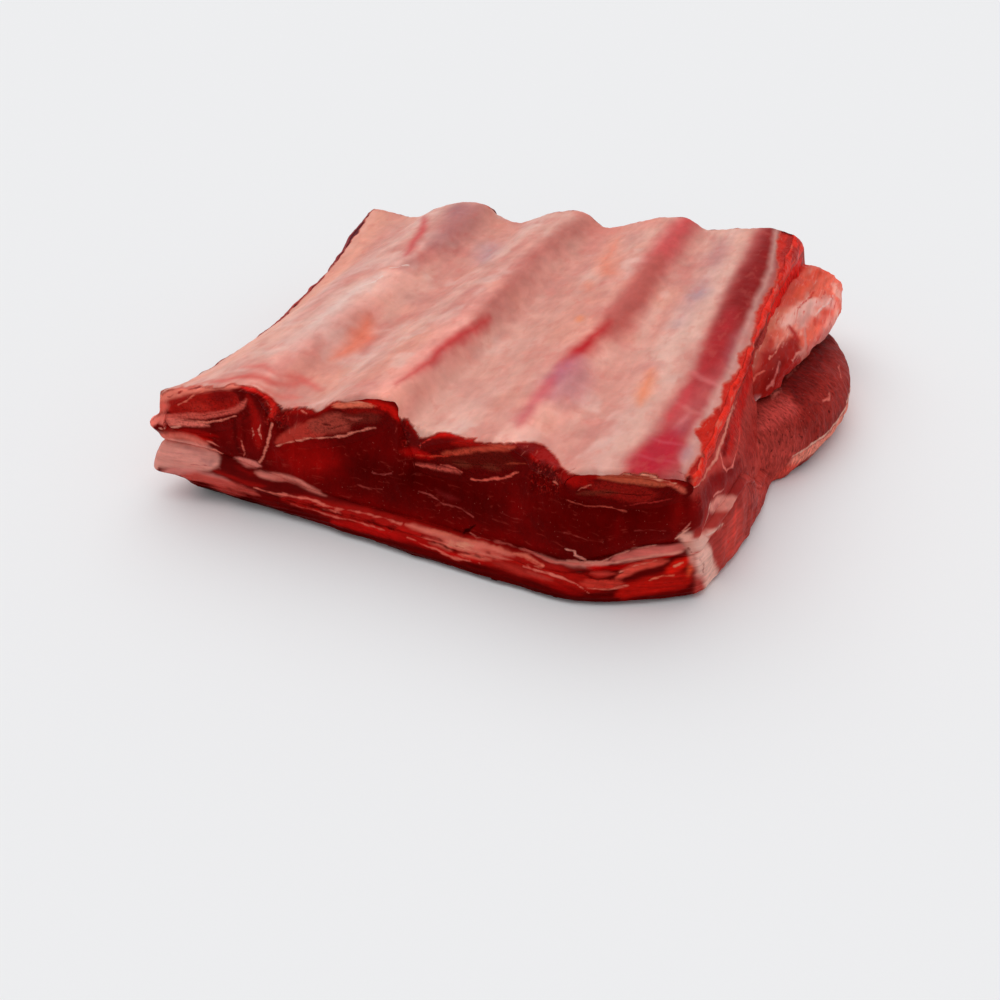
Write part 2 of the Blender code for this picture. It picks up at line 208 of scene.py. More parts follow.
FRONT_EDGE = (
    ((-106, 7), (-60, -1), (3, -12), (40, -17), (73, -19), (97, -11), (117, 0)),
    ((-122, -1), (-60, -3), (3, -9), (40, -13), (73, -16), (97, -9), (115, 0)),
    ((-122, 0), (-60, 0), (3, -3), (40, -7), (73, -13), (97, -8), (114, 0)),
    ((-122, 1), (-60, 2), (-15, 4), (30, -3), (70, -11), (97, -8), (112, 0)),
    ((-119, 2), (-60, 3), (-15, 5), (30, -2), (70, -10), (97, -7), (112, 0)),
)
BACK_EDGE = ((-112, 212), (-40, 219), (30, 229), (80, 236), (128, 240))
BACK_SWELL = (-2.0, 1.0, 2.0, 1.0, 0.0)
TABLE, SEAM_LOW, SEAM_HIGH, BONES, SKIN = range(5)
print("the cut front is", RIGHT_EDGE[SKIN][0][1] - LEFT_EDGE[SKIN][0][1], "mm wide at the skin")

# %% Measures of the ribs and of the skin over them
RIB_CENTRE_FRONT = (-95.0, -34.0, 22.0, 87.5)
RIB_CENTRE_BACK = (-60.5, -5.5, 45.5, 95.0)
RIB_HEIGHT_FRONT = (44.5, 49.5, 45.0, 50.5)
RIB_HEIGHT_BACK = (47.6, 47.2, 47.4, 47.5)
RIB_TILT_FRONT = (0.33, 0.44, 0.27, 0.04)
RIB_TILT_BACK = (0.25, 0.25, 0.25, 0.2)
RIB_FULLNESS = (1.05, 1.05, 1.0, 0.75)
RIB_BREADTH_FRONT = (1.0, 1.0, 1.12, 1.0)
RIB_BREADTH_BACK = (0.97, 0.88, 1.0, 0.9)
BONE_WIDTH_FRONT = 47.0
BONE_WIDTH_BACK = 42.0
BONE_EDGE = 3.0
BONE_CROWN = 8.5
BONE_BELLY = 7.0
SKIN_COVER = 2.2
SKIN_BLEND = 3.6
SKIN_BRIDGES = 6.0
SKIN_SAMPLES = 10
VALLEY_FRONT = 53.0
VALLEY_BACK_LEFT = 48.8
VALLEY_BACK_RIGHT = 55.8
VALLEY_RISES = (-100.0, 100.0)
MARGIN_DROP = ((0, 1.2), (26, 5.2), (50, 6.8), (150, 5.0), (190, -0.5), (212, -4.0))
MARGIN_WIDTH = 22.0


def fan(front, back, y):
    """One array for each rib, at depth y, between its front and back values."""
    return [mix(a, b, y / SLAB_DEPTH) for a, b in zip(front, back)]


def rib_centres(y):
    return fan(RIB_CENTRE_FRONT, RIB_CENTRE_BACK, y)


def bone_half_widths(y):
    half = mix(BONE_WIDTH_FRONT, BONE_WIDTH_BACK, y / SLAB_DEPTH) / 2
    return [half * breadth for breadth in fan(RIB_BREADTH_FRONT, RIB_BREADTH_BACK, y)]


def through(x, places, levels):
    """Straight lines through points whose places may differ for each x."""
    total = levels[0]
    for k in range(len(places) - 1):
        share = np.clip((x - places[k]) / (places[k + 1] - places[k]), 0, 1)
        total = total + share * (levels[k + 1] - levels[k])
    return total


def bone_axis(x, y):
    """Mid height of the bones; between two ribs it runs straight from one bone's edge to the next."""
    heights = fan(RIB_HEIGHT_FRONT, RIB_HEIGHT_BACK, y)
    tilts = fan(RIB_TILT_FRONT, RIB_TILT_BACK, y)
    places, levels = [], []
    ribs = zip(rib_centres(y), bone_half_widths(y), heights, tilts)
    for middle, half, height, tilt in ribs:
        places += [middle - half, middle + half]
        levels += [height - tilt * half, height + tilt * half]
    return through(x, places, levels)


def bone_bulge(x, y):
    """0 between the ribs and at a bone's edges, about 1 along its middle."""
    bulge = 0 * x
    for centre, half, fullness in zip(rib_centres(y), bone_half_widths(y), RIB_FULLNESS):
        across = (x - centre) / half
        bulge = np.maximum(bulge, fullness * np.maximum(0, 1 - across**2) ** 0.5)
    return bulge


def bone_top(x, y):
    bulge = bone_bulge(x, y)
    return bone_axis(x, y) + BONE_EDGE / 2 * np.minimum(1, 2.5 * bulge) + BONE_CROWN * bulge


def bone_bottom(x, y):
    bulge = bone_bulge(x, y)
    return bone_axis(x, y) - BONE_EDGE / 2 * np.minimum(1, 2.5 * bulge) - BONE_BELLY * bulge


def skin_sag(x, y):
    """The skin lies over the crown of each bone and sags into the valleys between."""
    back_valley = np.interp(x, VALLEY_RISES, (VALLEY_BACK_LEFT, VALLEY_BACK_RIGHT))
    valley = mix(VALLEY_FRONT, back_valley, y / SLAB_DEPTH)
    valley = valley - curve(MARGIN_DROP, y) * ease(1 - (x - curve(LEFT_EDGE[SKIN], y)) / MARGIN_WIDTH)
    crown = bone_axis(x, y) + BONE_EDGE / 2 + BONE_CROWN * bone_bulge(x, y) + SKIN_COVER
    return (valley + crown + np.sqrt((valley - crown) ** 2 + SKIN_BLEND**2)) / 2


def skin_height(x, y):
    """The skin's height, averaged over a few millimetres, as taut skin bridges sharp bends."""
    shares = np.linspace(-0.9, 0.9, SKIN_SAMPLES)
    weights = 1 - np.abs(shares)
    heights = [weight * skin_sag(x + share * SKIN_BRIDGES, y) for share, weight in zip(shares, weights)]
    return sum(heights) / weights.sum()


first_rib = np.array(RIB_CENTRE_FRONT[:1])
print("the skin is", skin_height(first_rib, 0.0).round(1), "mm above the table on the first rib")

# %% Measures of the fat seam
SEAM_FLOOR_FRONT = ((-124, 9), (-62, 10), (3, 9), (40, 10), (66, 12), (82, 16), (102, 21.5), (115, 21))
SEAM_ROOF_FRONT = (
    (-124, 27), (-96, 26), (-72, 20), (-48, 16), (3, 12), (50, 13.5), (70, 16.5), (84, 21.5), (102, 28),
    (115, 27),
)
SEAM_FLOOR_SIDE = ((0, 21), (17, 24), (35, 28), (50, 25), (68, 11), (90, 6.5), (112, 6), (240, 6))
SEAM_ROOF_SIDE = ((0, 27.5), (17, 30), (35, 32), (50, 29), (68, 15), (90, 10), (112, 9.5), (240, 9.5))
SEAM_FLOOR_INNER = 11.0
SEAM_ROOF_INNER = 16.0
SEAM_LEAST = 2.6
SEAM_SETTLES = 60.0
SIDE_ZONE = 30.0


def seam(x, y, front_line, side_line, inner):
    """Height of a face of the fat seam: as cut at the front and on the right side, level inside."""
    depth = ease((y - curve(FRONT_EDGE[SEAM_HIGH], x)) / SEAM_SETTLES)
    side = ease(1 - (curve(RIGHT_EDGE[SEAM_HIGH], y) - x) / SIDE_ZONE)
    return mix(mix(curve(front_line, x), inner, depth), curve(side_line, y), side)


def seam_floor(x, y):
    return seam(x, y, SEAM_FLOOR_FRONT, SEAM_FLOOR_SIDE, SEAM_FLOOR_INNER)


def seam_roof(x, y):
    roof = seam(x, y, SEAM_ROOF_FRONT, SEAM_ROOF_SIDE, SEAM_ROOF_INNER)
    return np.maximum(roof, seam_floor(x, y) + SEAM_LEAST)


def table(x, y):
    """Height of the table, on which the lowest layer lies."""
    return 0 * x


print("the fat seam is from", SEAM_LEAST, "to", SEAM_ROOF_FRONT[0][1] - SEAM_FLOOR_FRONT[0][1], "mm thick")

# %% [markdown]
# ## Rims
#
# Each layer is a drum: a wall of rings between two rims, closed by a face below and one above. All rims
# have the same number of points, in the same order, so the walls of two layers meet point for point and
# no gap shows between them. The corners are rounded by averaging neighbours, as a knife rounds soft meat.

# %% Plans and rims
ACROSS = 400
ALONG = 200
CLOSER_IN_FRONT = 1.2
CORNER_ROUNDS = 20


def plan(level, rows=ALONG, cols=ACROSS):
    """Rows of places over the slab at one level, as arrays of x and y."""
    down = np.linspace(0, 1, rows)[:, None] ** CLOSER_IN_FRONT
    y = SLAB_DEPTH * down
    x = mix(curve(LEFT_EDGE[level], y), curve(RIGHT_EDGE[level], y), np.linspace(0, 1, cols)[None, :])
    y = mix(curve(FRONT_EDGE[level], x), curve(BACK_EDGE, x) + BACK_SWELL[level], down)
    return np.stack([x, y], axis=-1)


def rim(face):
    """The outline of a grid, counterclockwise from its front left corner."""
    return np.concatenate([face[0], face[1:, -1], face[-1, -2::-1], face[-2:0:-1, 0]])


def rounded_rim(level):
    """The slab's outline at one level, with its corners rounded off."""
    loop = rim(plan(level))
    for _ in range(CORNER_ROUNDS):
        loop = (np.roll(loop, 1, axis=0) + 2 * loop + np.roll(loop, -1, axis=0)) / 4
    return loop


RIMS = [rounded_rim(level) for level in range(5)]
ROUND = len(RIMS[0])


def outward(loop):
    """Level directions that point away from the slab, as (x, y, 0)."""
    along = np.roll(loop, -3, axis=0) - np.roll(loop, 3, axis=0)
    away = np.stack([along[:, 1], -along[:, 0], np.zeros(len(loop))], axis=1)
    return away / np.linalg.norm(away, axis=1)[:, None]


AWAY = outward(RIMS[SEAM_HIGH])
STEP = np.linalg.norm(np.roll(RIMS[SEAM_HIGH], -1, axis=0) - RIMS[SEAM_HIGH], axis=1)
AROUND = np.cumsum(STEP)
print("points round the slab:", ROUND, "length", round(AROUND[-1]), "mm")

# %% How much each point of the wall faces front, right, back and left
FACING_FROM = 0.45
FRONT_LEFT = ease((12 - RIMS[SEAM_HIGH][:, 1]) / 8) * (RIMS[SEAM_HIGH][:, 0] < 0)
FACES_FRONT = np.maximum(ease((-AWAY[:, 1] - 0.2) * 4), FRONT_LEFT)
FACES_RIGHT = ease((AWAY[:, 0] - FACING_FROM) * 4)
FACES_BACK = ease((AWAY[:, 1] - FACING_FROM) * 4)
FACES_LEFT = ease((-AWAY[:, 0] - FACING_FROM) * 4) * ease((RIMS[SEAM_HIGH][:, 1] - 4) / 12)
FACES = (FACES_FRONT, FACES_RIGHT, FACES_BACK, FACES_LEFT)
print("points that face front, right, back and left:", [round(weights.sum()) for weights in FACES])

# %% [markdown]
# ## Relief of the cut walls
#
# A knife leaves the big muscle nearly smooth, while the meat between the bones tears into clumps of
# fibres. The thin layers near the table part into flakes. The right side is not cut but pulled apart, so
# its grain runs up and down. One function gives all of this, by where a point is, and neighbours use the
# same function, so the relief runs on over a seam.

# %% Relief of the walls
BETWEEN_RIBS = 3.0
CLUMPS_FROM = 18.0
FLAKE_TOP = 13.0
FLAKE_HEIGHT = 2.3
TAB_LEFT_OF = -108.0
TAB_OUT = 3.0
TAB_HEIGHT = 35.5
LEDGE_IN = 2.4
LEDGE_HEIGHT = 13.5


def between_ribs(x, y):
    """1 in the meat between two bones, 0 at the bones and at their edges."""
    share = 0 * x + 1
    for centre, half in zip(rib_centres(y), bone_half_widths(y)):
        share = share * ease((np.abs(x - centre) - half) / BETWEEN_RIBS)
    return share


def flakes(points):
    """Ledges about 2 mm high that step in and out, wavy along the wall."""
    wave = 1.6 * lumps(points, (34, 34, 60), 31) + 0.5 * lumps(points, (9, 9, 30), 32)
    turns = (points[..., 2] + wave) / FLAKE_HEIGHT
    step = turns - np.floor(turns)
    return (step**1.5 - 0.45) * (0.7 + 0.5 * lumps(points, (12, 12, 8), 33))


def cut_relief(points):
    """Relief of a knife cut: long shallow waves with a fine tear."""
    return 0.5 * rough(points, (17, 17, 13), 42, 3) + 0.22 * rough(points, (5, 6, 9), 41, 3)


def left_tab(x, y, z):
    """At the front left corner a tab of fat sticks out, and the layers under the fat lump lie back."""
    corner = ease((TAB_LEFT_OF - x) / 8)
    tab = TAB_OUT * np.exp(-(((z - TAB_HEIGHT) / 3.2) ** 2) - ((y - 2) / 7) ** 2)
    return corner * (tab - LEDGE_IN * ease((LEDGE_HEIGHT - z) / 1.6) * np.exp(-(((y - 2) / 12) ** 2)))


def wall_relief(points):
    """How far the wall stands out, in mm, at points of shape (rings, round, 3)."""
    x, y, z = points[..., 0], points[..., 1], points[..., 2]
    cut = np.clip(FACES_FRONT + FACES_BACK, 0, 1)
    side = np.clip(FACES_RIGHT + FACES_LEFT, 0, 1) * (1 - cut)
    clumps = between_ribs(x, y) * ease((z - CLUMPS_FROM) / 12) * cut
    torn = rough(points, (4.5, 6, 9), 45, 3)
    pulled = rough(points, (9, 9, 20), 43, 3) + 0.35 * rough(points, (3, 4, 9), 44, 2)
    flaky = flakes(points) * ease((FLAKE_TOP - z) / 4 + 0.5)
    out = cut * (cut_relief(points) + 1.1 * torn * clumps + 0.9 * flaky)
    return out + side * (0.8 * pulled + 0.45 * flaky) + left_tab(x, y, z)


print("the tab of fat stands out", TAB_OUT, "mm")

# %% [markdown]
# ## Drums
#
# A wall is worked out as one array of rings. Along a seam between two layers it is drawn in by a narrow
# groove, as soft layers round off where they are cut. The faces that close a drum lie hidden between the
# layers, so they need few points, and a Delaunay fill joins them to the many points of the rim.

# %% Walls
GROOVE_REACH = 1.3
LUMP_SPREAD = 20.0
LUMP_PEAK = 0.28


def upright(level, height):
    """A rim at its height: one (x, y, z) for each point round the slab."""
    x, y = RIMS[level].T
    return np.stack([x, y, height(x, y) + 0 * x], axis=1)


def wall(low, high, rings, bow, groove_low=0.0, groove_high=0.0, lump=0.0):
    """Rings of a wall between two rims, bowed outward, in relief, and drawn in along its seams.

    A lump swells it at the front left corner, fullest at LUMP_PEAK of its height.
    """
    share = np.linspace(0, 1, rings)[:, None]
    points = mix(low, high, share[..., None])
    bulge = 4 * share * (1 - share)
    above_peak = np.clip((share - LUMP_PEAK) / (1 - LUMP_PEAK), 0, 1)
    sag = np.where(share < LUMP_PEAK, np.clip(share / LUMP_PEAK, 0, 1) ** 0.4, (1 - above_peak) ** 0.9)
    corner = np.hypot(points[..., 0] - low[0, 0], points[..., 1] - low[0, 1])
    out = bulge * bow + sag * lump * np.exp(-((corner / LUMP_SPREAD) ** 2))
    above = points[..., 2] - low[:, 2]
    below = high[:, 2] - points[..., 2]
    out = out - groove_low * np.exp(-((above / GROOVE_REACH) ** 2))
    out = out - groove_high * np.exp(-((below / GROOVE_REACH) ** 2))
    out = out + wall_relief(points)
    return points + AWAY * out[..., None]


corner_heights = [round(float(upright(SKIN, skin_height)[k, 2]), 1) for k in (0, ACROSS - 1)]
print("skin over the front corners, in mm:", corner_heights)

# %% Hidden faces
HIDDEN_ROWS = 26
HIDDEN_COLS = 60


def closing_face(level, height, first, rim_start, up):
    """Inner points of a hidden face and its triangles, joined to the rim that starts at rim_start."""
    inner = plan(level, HIDDEN_ROWS, HIDDEN_COLS)[1:-1, 1:-1].reshape(-1, 2)
    flat = np.concatenate([RIMS[level], inner])
    loop = [(i, (i + 1) % ROUND) for i in range(ROUND)]
    _, _, faces, origins, _, _ = delaunay_2d_cdt([Vector(p) for p in flat], loop, [], 1, 1e-6)
    number = np.concatenate([np.arange(ROUND) + rim_start, np.arange(len(inner)) + first])
    faces = [[number[origins[i][0]] for i in face] for face in faces]
    faces = np.array(faces if up else [face[::-1] for face in faces])
    points = np.column_stack([inner, height(*inner.T) + 0 * inner[:, 0]])
    return points, faces


def cell_faces(a, b, c, d):
    """Two triangles for each four-cornered cell, from the numbers of its corners."""
    return np.concatenate([np.stack([a, b, c], -1).reshape(-1, 3), np.stack([a, c, d], -1).reshape(-1, 3)])


def wall_faces(rings):
    """The triangles of a wall, facing outward."""
    index = np.arange(rings * ROUND).reshape(rings, ROUND)
    after = np.roll(index, -1, axis=1)
    return cell_faces(index[:-1], after[:-1], after[1:], index[1:])


def tube_faces(rows, cols):
    """The triangles of a tube of rings, and of a fan at each end round one of two last points."""
    index = np.arange(rows * cols).reshape(rows, cols)
    after = np.roll(index, -1, axis=1)
    first_fan = np.stack([index[0], after[0], 0 * after[0] + rows * cols], -1)
    last_fan = np.stack([after[-1], index[-1], 0 * after[-1] + rows * cols + 1], -1)
    return np.concatenate([cell_faces(index[:-1], index[1:], after[1:], after[:-1]), first_fan, last_fan])


print("a wall of 30 rings has", len(wall_faces(30)), "triangles")

# %% A mesh object
SHARP_ANGLE = np.radians(60)


def new_piece(name, points, faces):
    """A mesh object from arrays of points in plan millimetres and of triangles."""
    mesh = bpy.data.meshes.new(name)
    mesh.vertices.add(len(points))
    mesh.vertices.foreach_set("co", ((points - PLAN_MIDDLE) * MM).astype(np.float32).ravel())
    mesh.loops.add(len(faces) * 3)
    mesh.loops.foreach_set("vertex_index", faces.astype(np.int32).ravel())
    mesh.polygons.add(len(faces))
    mesh.polygons.foreach_set("loop_start", np.arange(len(faces), dtype=np.int32) * 3)
    mesh.update(calc_edges=True)
    mesh.validate()
    mesh.shade_smooth()
    mesh.set_sharp_from_angle(angle=SHARP_ANGLE)
    piece = bpy.data.objects.new(name, mesh)
    scene.collection.objects.link(piece)
    print(f"{name}: {len(points)} points, {len(faces)} triangles")
    return piece


def drum(name, walls, low_level, low_height, high_level, high_height):
    """A closed layer from its wall and the heights of its hidden faces. Also gives all its points."""
    rings = len(walls)
    wall_points = walls.reshape(-1, 3)
    below, faces_below = closing_face(low_level, low_height, len(wall_points), 0, up=False)
    start = len(wall_points) + len(below)
    above, faces_above = closing_face(high_level, high_height, start, (rings - 1) * ROUND, up=True)
    points = np.concatenate([wall_points, below, above])
    return new_piece(name, points, np.concatenate([wall_faces(rings), faces_below, faces_above])), points


# %% [markdown]
# ## Painting
#
# Meat has no repeating pattern: each streak is where it is. So the colours are laid on like paint. A
# stroke is a short path with a width at each point, in millimetres on the skin or on a wall. Its edge is
# soft, and the place is shaken a little by a random relief first, so that no edge is a clean line. Films
# of fat and membrane are too thin for the mesh's points, so a fine line is kept as a distance: each point
# stores how deep inside the line it lies, and the node material draws the sharp, ragged edge where that
# distance is zero.

# %% Strokes
def dye(red, green, blue, lift=1.0):
    """A colour from 0-255 screen values, as the linear values that shaders use, made lighter by lift."""
    c = np.array([red, green, blue]) / 255
    return np.minimum(np.where(c < 0.04045, c / 12.92, ((c + 0.055) / 1.055) ** 2.4) * lift, 0.9)


def depth_in(at, path):
    """How deep each place lies inside a path of (across, up, width), in mm; less than 0 outside."""
    path = np.array(path, float)
    depth = np.full(len(at), -99.0)
    for start, end in zip(path, path[1:]):
        way = end[:2] - start[:2]
        share = np.clip(((at - start[:2]) @ way) / (way @ way), 0, 1)
        distance = np.linalg.norm(at - start[:2] - share[:, None] * way, axis=1)
        depth = np.maximum(depth, mix(start[2], end[2], share) / 2 - distance)
    return depth


TAPER_OVER = 0.33
TAPER_TO = 0.3


def tapered(path):
    """The path with both ends drawn to a point over a third of their segments."""
    path = np.array(path, float)
    first, last = mix(path[0], path[1], TAPER_OVER), mix(path[-1], path[-2], TAPER_OVER)
    path[[0, -1], 2] *= TAPER_TO
    return np.vstack([path[:1], first, path[1:-1], last, path[-1:]])


def near_path(at, path, reach):
    """Numbers of the places within reach of the box round a path."""
    path = np.array(path, float)
    margin = path[:, 2].max() / 2 + reach
    low, high = path[:, :2].min(axis=0) - margin, path[:, :2].max(axis=0) + margin
    return np.flatnonzero(np.all((at > low) & (at < high), axis=1))


def lay(paint, at, strokes, lift=1.0):
    """Lays strokes of (colour, strength, softness, path) over the paint."""
    for colour, strength, soft, path in strokes:
        path = tapered(path)
        near = near_path(at, path, soft)
        mask = strength * ease((depth_in(at[near], path) + soft) / (2 * soft))
        paint[near] += (dye(*colour, lift) - paint[near]) * mask[:, None]
    return paint


# %% Fine lines, washes and patches
LINE_REACH = 2.5


def fine_lines(at, lines, lift=1.0):
    """How deep each place lies in the nearest fine line, and that line's colour."""
    depth = np.full(len(at), -LINE_REACH)
    colours = np.zeros((len(at), 3))
    for colour, path in lines:
        near = near_path(at, path, LINE_REACH)
        inside = depth_in(at[near], path)
        nearer = inside > depth[near]
        depth[near[nearer]] = inside[nearer]
        colours[near[nearer]] = dye(*colour, lift)
    return depth, colours


def wash(paint, colour, mask):
    """Lays one colour over the paint where the mask is 1."""
    paint += (np.asarray(colour) - paint) * np.clip(mask, 0, 1)[:, None]
    return paint


def mottle(paint, place, colour, strength, size, seed, gain, shift):
    """Washes a colour over the paint in soft patches of about that size in mm."""
    return wash(paint, dye(*colour), strength * ease(gain * rough(place, size, seed) + shift))


def shaken(points, at, amount):
    """Places moved about by a random relief, wide and fine, that is drawn out along the layers."""
    wide = [0.9 * rough(points, (10, 10, 8), seed) for seed in (60, 70)]
    fine = [0.3 * rough(points, (5, 5, 1.6), seed) for seed in (65, 75)]
    return at + amount * (np.stack(wide, axis=1) + np.stack(fine, axis=1))


print("a middle grey of the screen is", dye(128, 128, 128).round(3), "to the shaders")

# %% Keeping the paint on a mesh
def store(piece, name, kind, key, values):
    """Keeps one value for each point of the mesh, under a name that the materials read."""
    layer = piece.data.attributes.new(name, kind, "POINT")
    layer.data.foreach_set(key, np.asarray(values, np.float32).ravel())


def store_paint(piece, paint, place, lines=None, **masks):
    """Keeps the colour, the grain's coordinates in mm, the fine lines and any masks on the points."""
    full = np.ones((len(paint), 1))
    store(piece, "paint", "FLOAT_COLOR", "color", np.hstack([np.clip(paint, 0, 1), full]))
    store(piece, "grain_place", "FLOAT_VECTOR", "vector", place)
    if lines is not None:
        store(piece, "line", "FLOAT", "value", lines[0])
        store(piece, "line_paint", "FLOAT_COLOR", "color", np.hstack([lines[1], full]))
    for name, values in masks.items():
        store(piece, name, "FLOAT", "value", values)


# %% [markdown]
# ## Node materials
#
# All the finishes are built from the same few steps: take the painted colour, vary it with noise that is
# stretched along the grain, draw the fine lines, and use finer noise for bumps and for how wet the surface
# looks. The noise reads the grain's own coordinates, so fibres follow the meat round a corner. The gloss of
# dark meat is tinted red and kept low, because a white sheen would turn it grey.

# %% Steps of a node material
class Finish:
    """A material that starts from the paint on the mesh."""

    def __init__(self, name, gloss, glow, tint):
        self.material = bpy.data.materials.new(name)
        self.material.use_nodes = True
        self.tree = self.material.node_tree
        self.shader = self.tree.nodes["Principled BSDF"]
        self.shader.inputs["Specular IOR Level"].default_value = gloss
        self.shader.inputs["Specular Tint"].default_value = (*tint, 1)
        self.shader.inputs["Subsurface Weight"].default_value = glow
        self.shader.inputs["Subsurface Radius"].default_value = (1.0, 0.25, 0.15)
        self.shader.inputs["Subsurface Scale"].default_value = 0.003
        self.place = self.attribute("grain_place").outputs["Vector"]
        self.colour = self.attribute("paint").outputs["Color"]
        self.heights = []

    def add(self, kind, inputs, **settings):
        """A node with its inputs linked or set."""
        node = self.tree.nodes.new("ShaderNode" + kind)
        for key, value in settings.items():
            setattr(node, key, value)
        for key, value in inputs.items():
            if isinstance(value, bpy.types.NodeSocket):
                self.tree.links.new(value, node.inputs[key])
            else:
                node.inputs[key].default_value = value
        return node

    def attribute(self, name):
        return self.add("Attribute", {}, attribute_name=name)

    def grain(self, size, detail=3.0, shift=0.0, twist=0.0):
        """Noise from 0 to 1 in the grain's coordinates, with features of about that size in mm.

        Another shift gives another pattern, and twist bends it.
        """
        scale = tuple(1 / s for s in size)
        moved = self.add("Mapping", {"Vector": self.place, "Scale": scale, "Location": (shift,) * 3})
        inputs = {"Vector": moved.outputs["Vector"], "Scale": 1.0, "Detail": detail, "Distortion": twist}
        return self.add("TexNoise", inputs).outputs[0]

    def ramp(self, value, low, high, to_low=0.0, to_high=1.0):
        """Stretches a value from low-high to to_low-to_high, clamped."""
        ends = {"Value": value, "From Min": low, "From Max": high, "To Min": to_low, "To Max": to_high}
        return self.add("MapRange", ends).outputs["Result"]

    def math(self, a, operation, b):
        """One sum or product of two values."""
        return self.add("Math", {0: a, 1: b}, operation=operation).outputs[0]

    def times(self, a, b):
        return self.math(a, "MULTIPLY", b)

    def shade(self, factor, low, high):
        """Makes the colour darker or lighter by a factor between two strengths."""
        strength = self.ramp(factor, 0.3, 0.7, low, high)
        scaled = self.add("VectorMath", {0: self.colour, "Scale": strength}, operation="SCALE")
        self.colour = scaled.outputs[0]

    def tone(self, mask, strength, colour):
        """Lays a colour, or another socket's colour, over the paint as strongly as mask times strength."""
        node = self.tree.nodes.new("ShaderNodeMix")
        node.data_type = "RGBA"
        sockets = {s.name: s for s in node.inputs if s.enabled}
        self.tree.links.new(self.times(mask, strength), sockets["Factor"])
        self.tree.links.new(self.colour, sockets["A"])
        if isinstance(colour, bpy.types.NodeSocket):
            self.tree.links.new(colour, sockets["B"])
        else:
            sockets["B"].default_value = (*colour, 1)
        self.colour = [s for s in node.outputs if s.enabled][0]

    def fine_lines(self, ragged=0.6, raised=0.25):
        """Draws the fine lines that are stored on the mesh, with a ragged edge, a little raised."""
        wander = self.ramp(self.grain((3.6, 1.4, 1.4), 3, 11.0), 0.3, 0.7, -ragged / 2, ragged / 2)
        breaks = self.ramp(self.grain((7, 7, 7), 2, 23.0), 0.32, 0.6, -ragged * 0.5, ragged * 0.3)
        depth = self.math(self.attribute("line").outputs["Fac"], "ADD", self.math(wander, "ADD", breaks))
        mask = self.ramp(depth, -0.3, 0.4)
        self.tone(mask, 0.85, self.attribute("line_paint").outputs["Color"])
        self.bump(mask, raised)

    def side_dashes(self):
        """Short upright dashes, dark and light, where the layer is cut across its grain."""
        side = self.attribute("dashes").outputs["Fac"]
        grain = self.grain((0.9, 3.2, 2), 3, 7.0, 0.3)
        self.tone(self.times(self.ramp(grain, 0.5, 0.36), side), 0.5, dye(96, 16, 16))
        self.tone(self.times(self.ramp(grain, 0.58, 0.7), side), 0.4, dye(206, 96, 84))
        self.bump(self.times(grain, side), 0.4)

    def torn_fibres(self):
        """Fine upright strands, dark and pale, where meat is torn between the bones."""
        torn = self.attribute("torn").outputs["Fac"]
        strands = self.grain((1.2, 2.4, 2), 4, 19.0, 1.2)
        flecks = self.grain((1.1, 1.0, 1.2), 2, 29.0)
        self.tone(self.times(self.ramp(strands, 0.5, 0.38), torn), 0.6, dye(62, 2, 2))
        self.tone(self.times(self.ramp(strands, 0.54, 0.68), torn), 0.55, dye(190, 30, 22))
        self.tone(self.times(self.ramp(flecks, 0.62, 0.72), torn), 0.4, dye(212, 84, 68))
        self.bump(self.times(strands, torn), 0.8)

    def bump(self, height, millimetres):
        """Notes a value from 0 to 1 that raises the surface by up to so many millimetres."""
        self.heights.append((height, millimetres))

    def done(self, size, smooth, dull, detail=2.0):
        """Joins the colour, the bumps and patches from smooth to dull to the shader."""
        patches = self.ramp(self.grain(size, detail, 5.0), 0.3, 0.7, smooth, dull)
        self.tree.links.new(patches, self.shader.inputs["Roughness"])
        normal = None
        for height, millimetres in self.heights:
            inputs = {"Height": height, "Strength": 1.0, "Distance": millimetres * MM}
            if normal is not None:
                inputs["Normal"] = normal
            normal = self.add("Bump", inputs).outputs["Normal"]
        self.tree.links.new(self.colour, self.shader.inputs["Base Color"])
        self.tree.links.new(normal, self.shader.inputs["Normal"])
        return self.material


def dress(piece, material, node):
    """Gives a piece its material and says which solid it stands for."""
    piece.data.materials.append(material)
    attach(piece, "root")
    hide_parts(node)
    print(f"{piece.name} has {material.name} and stands for {node}")
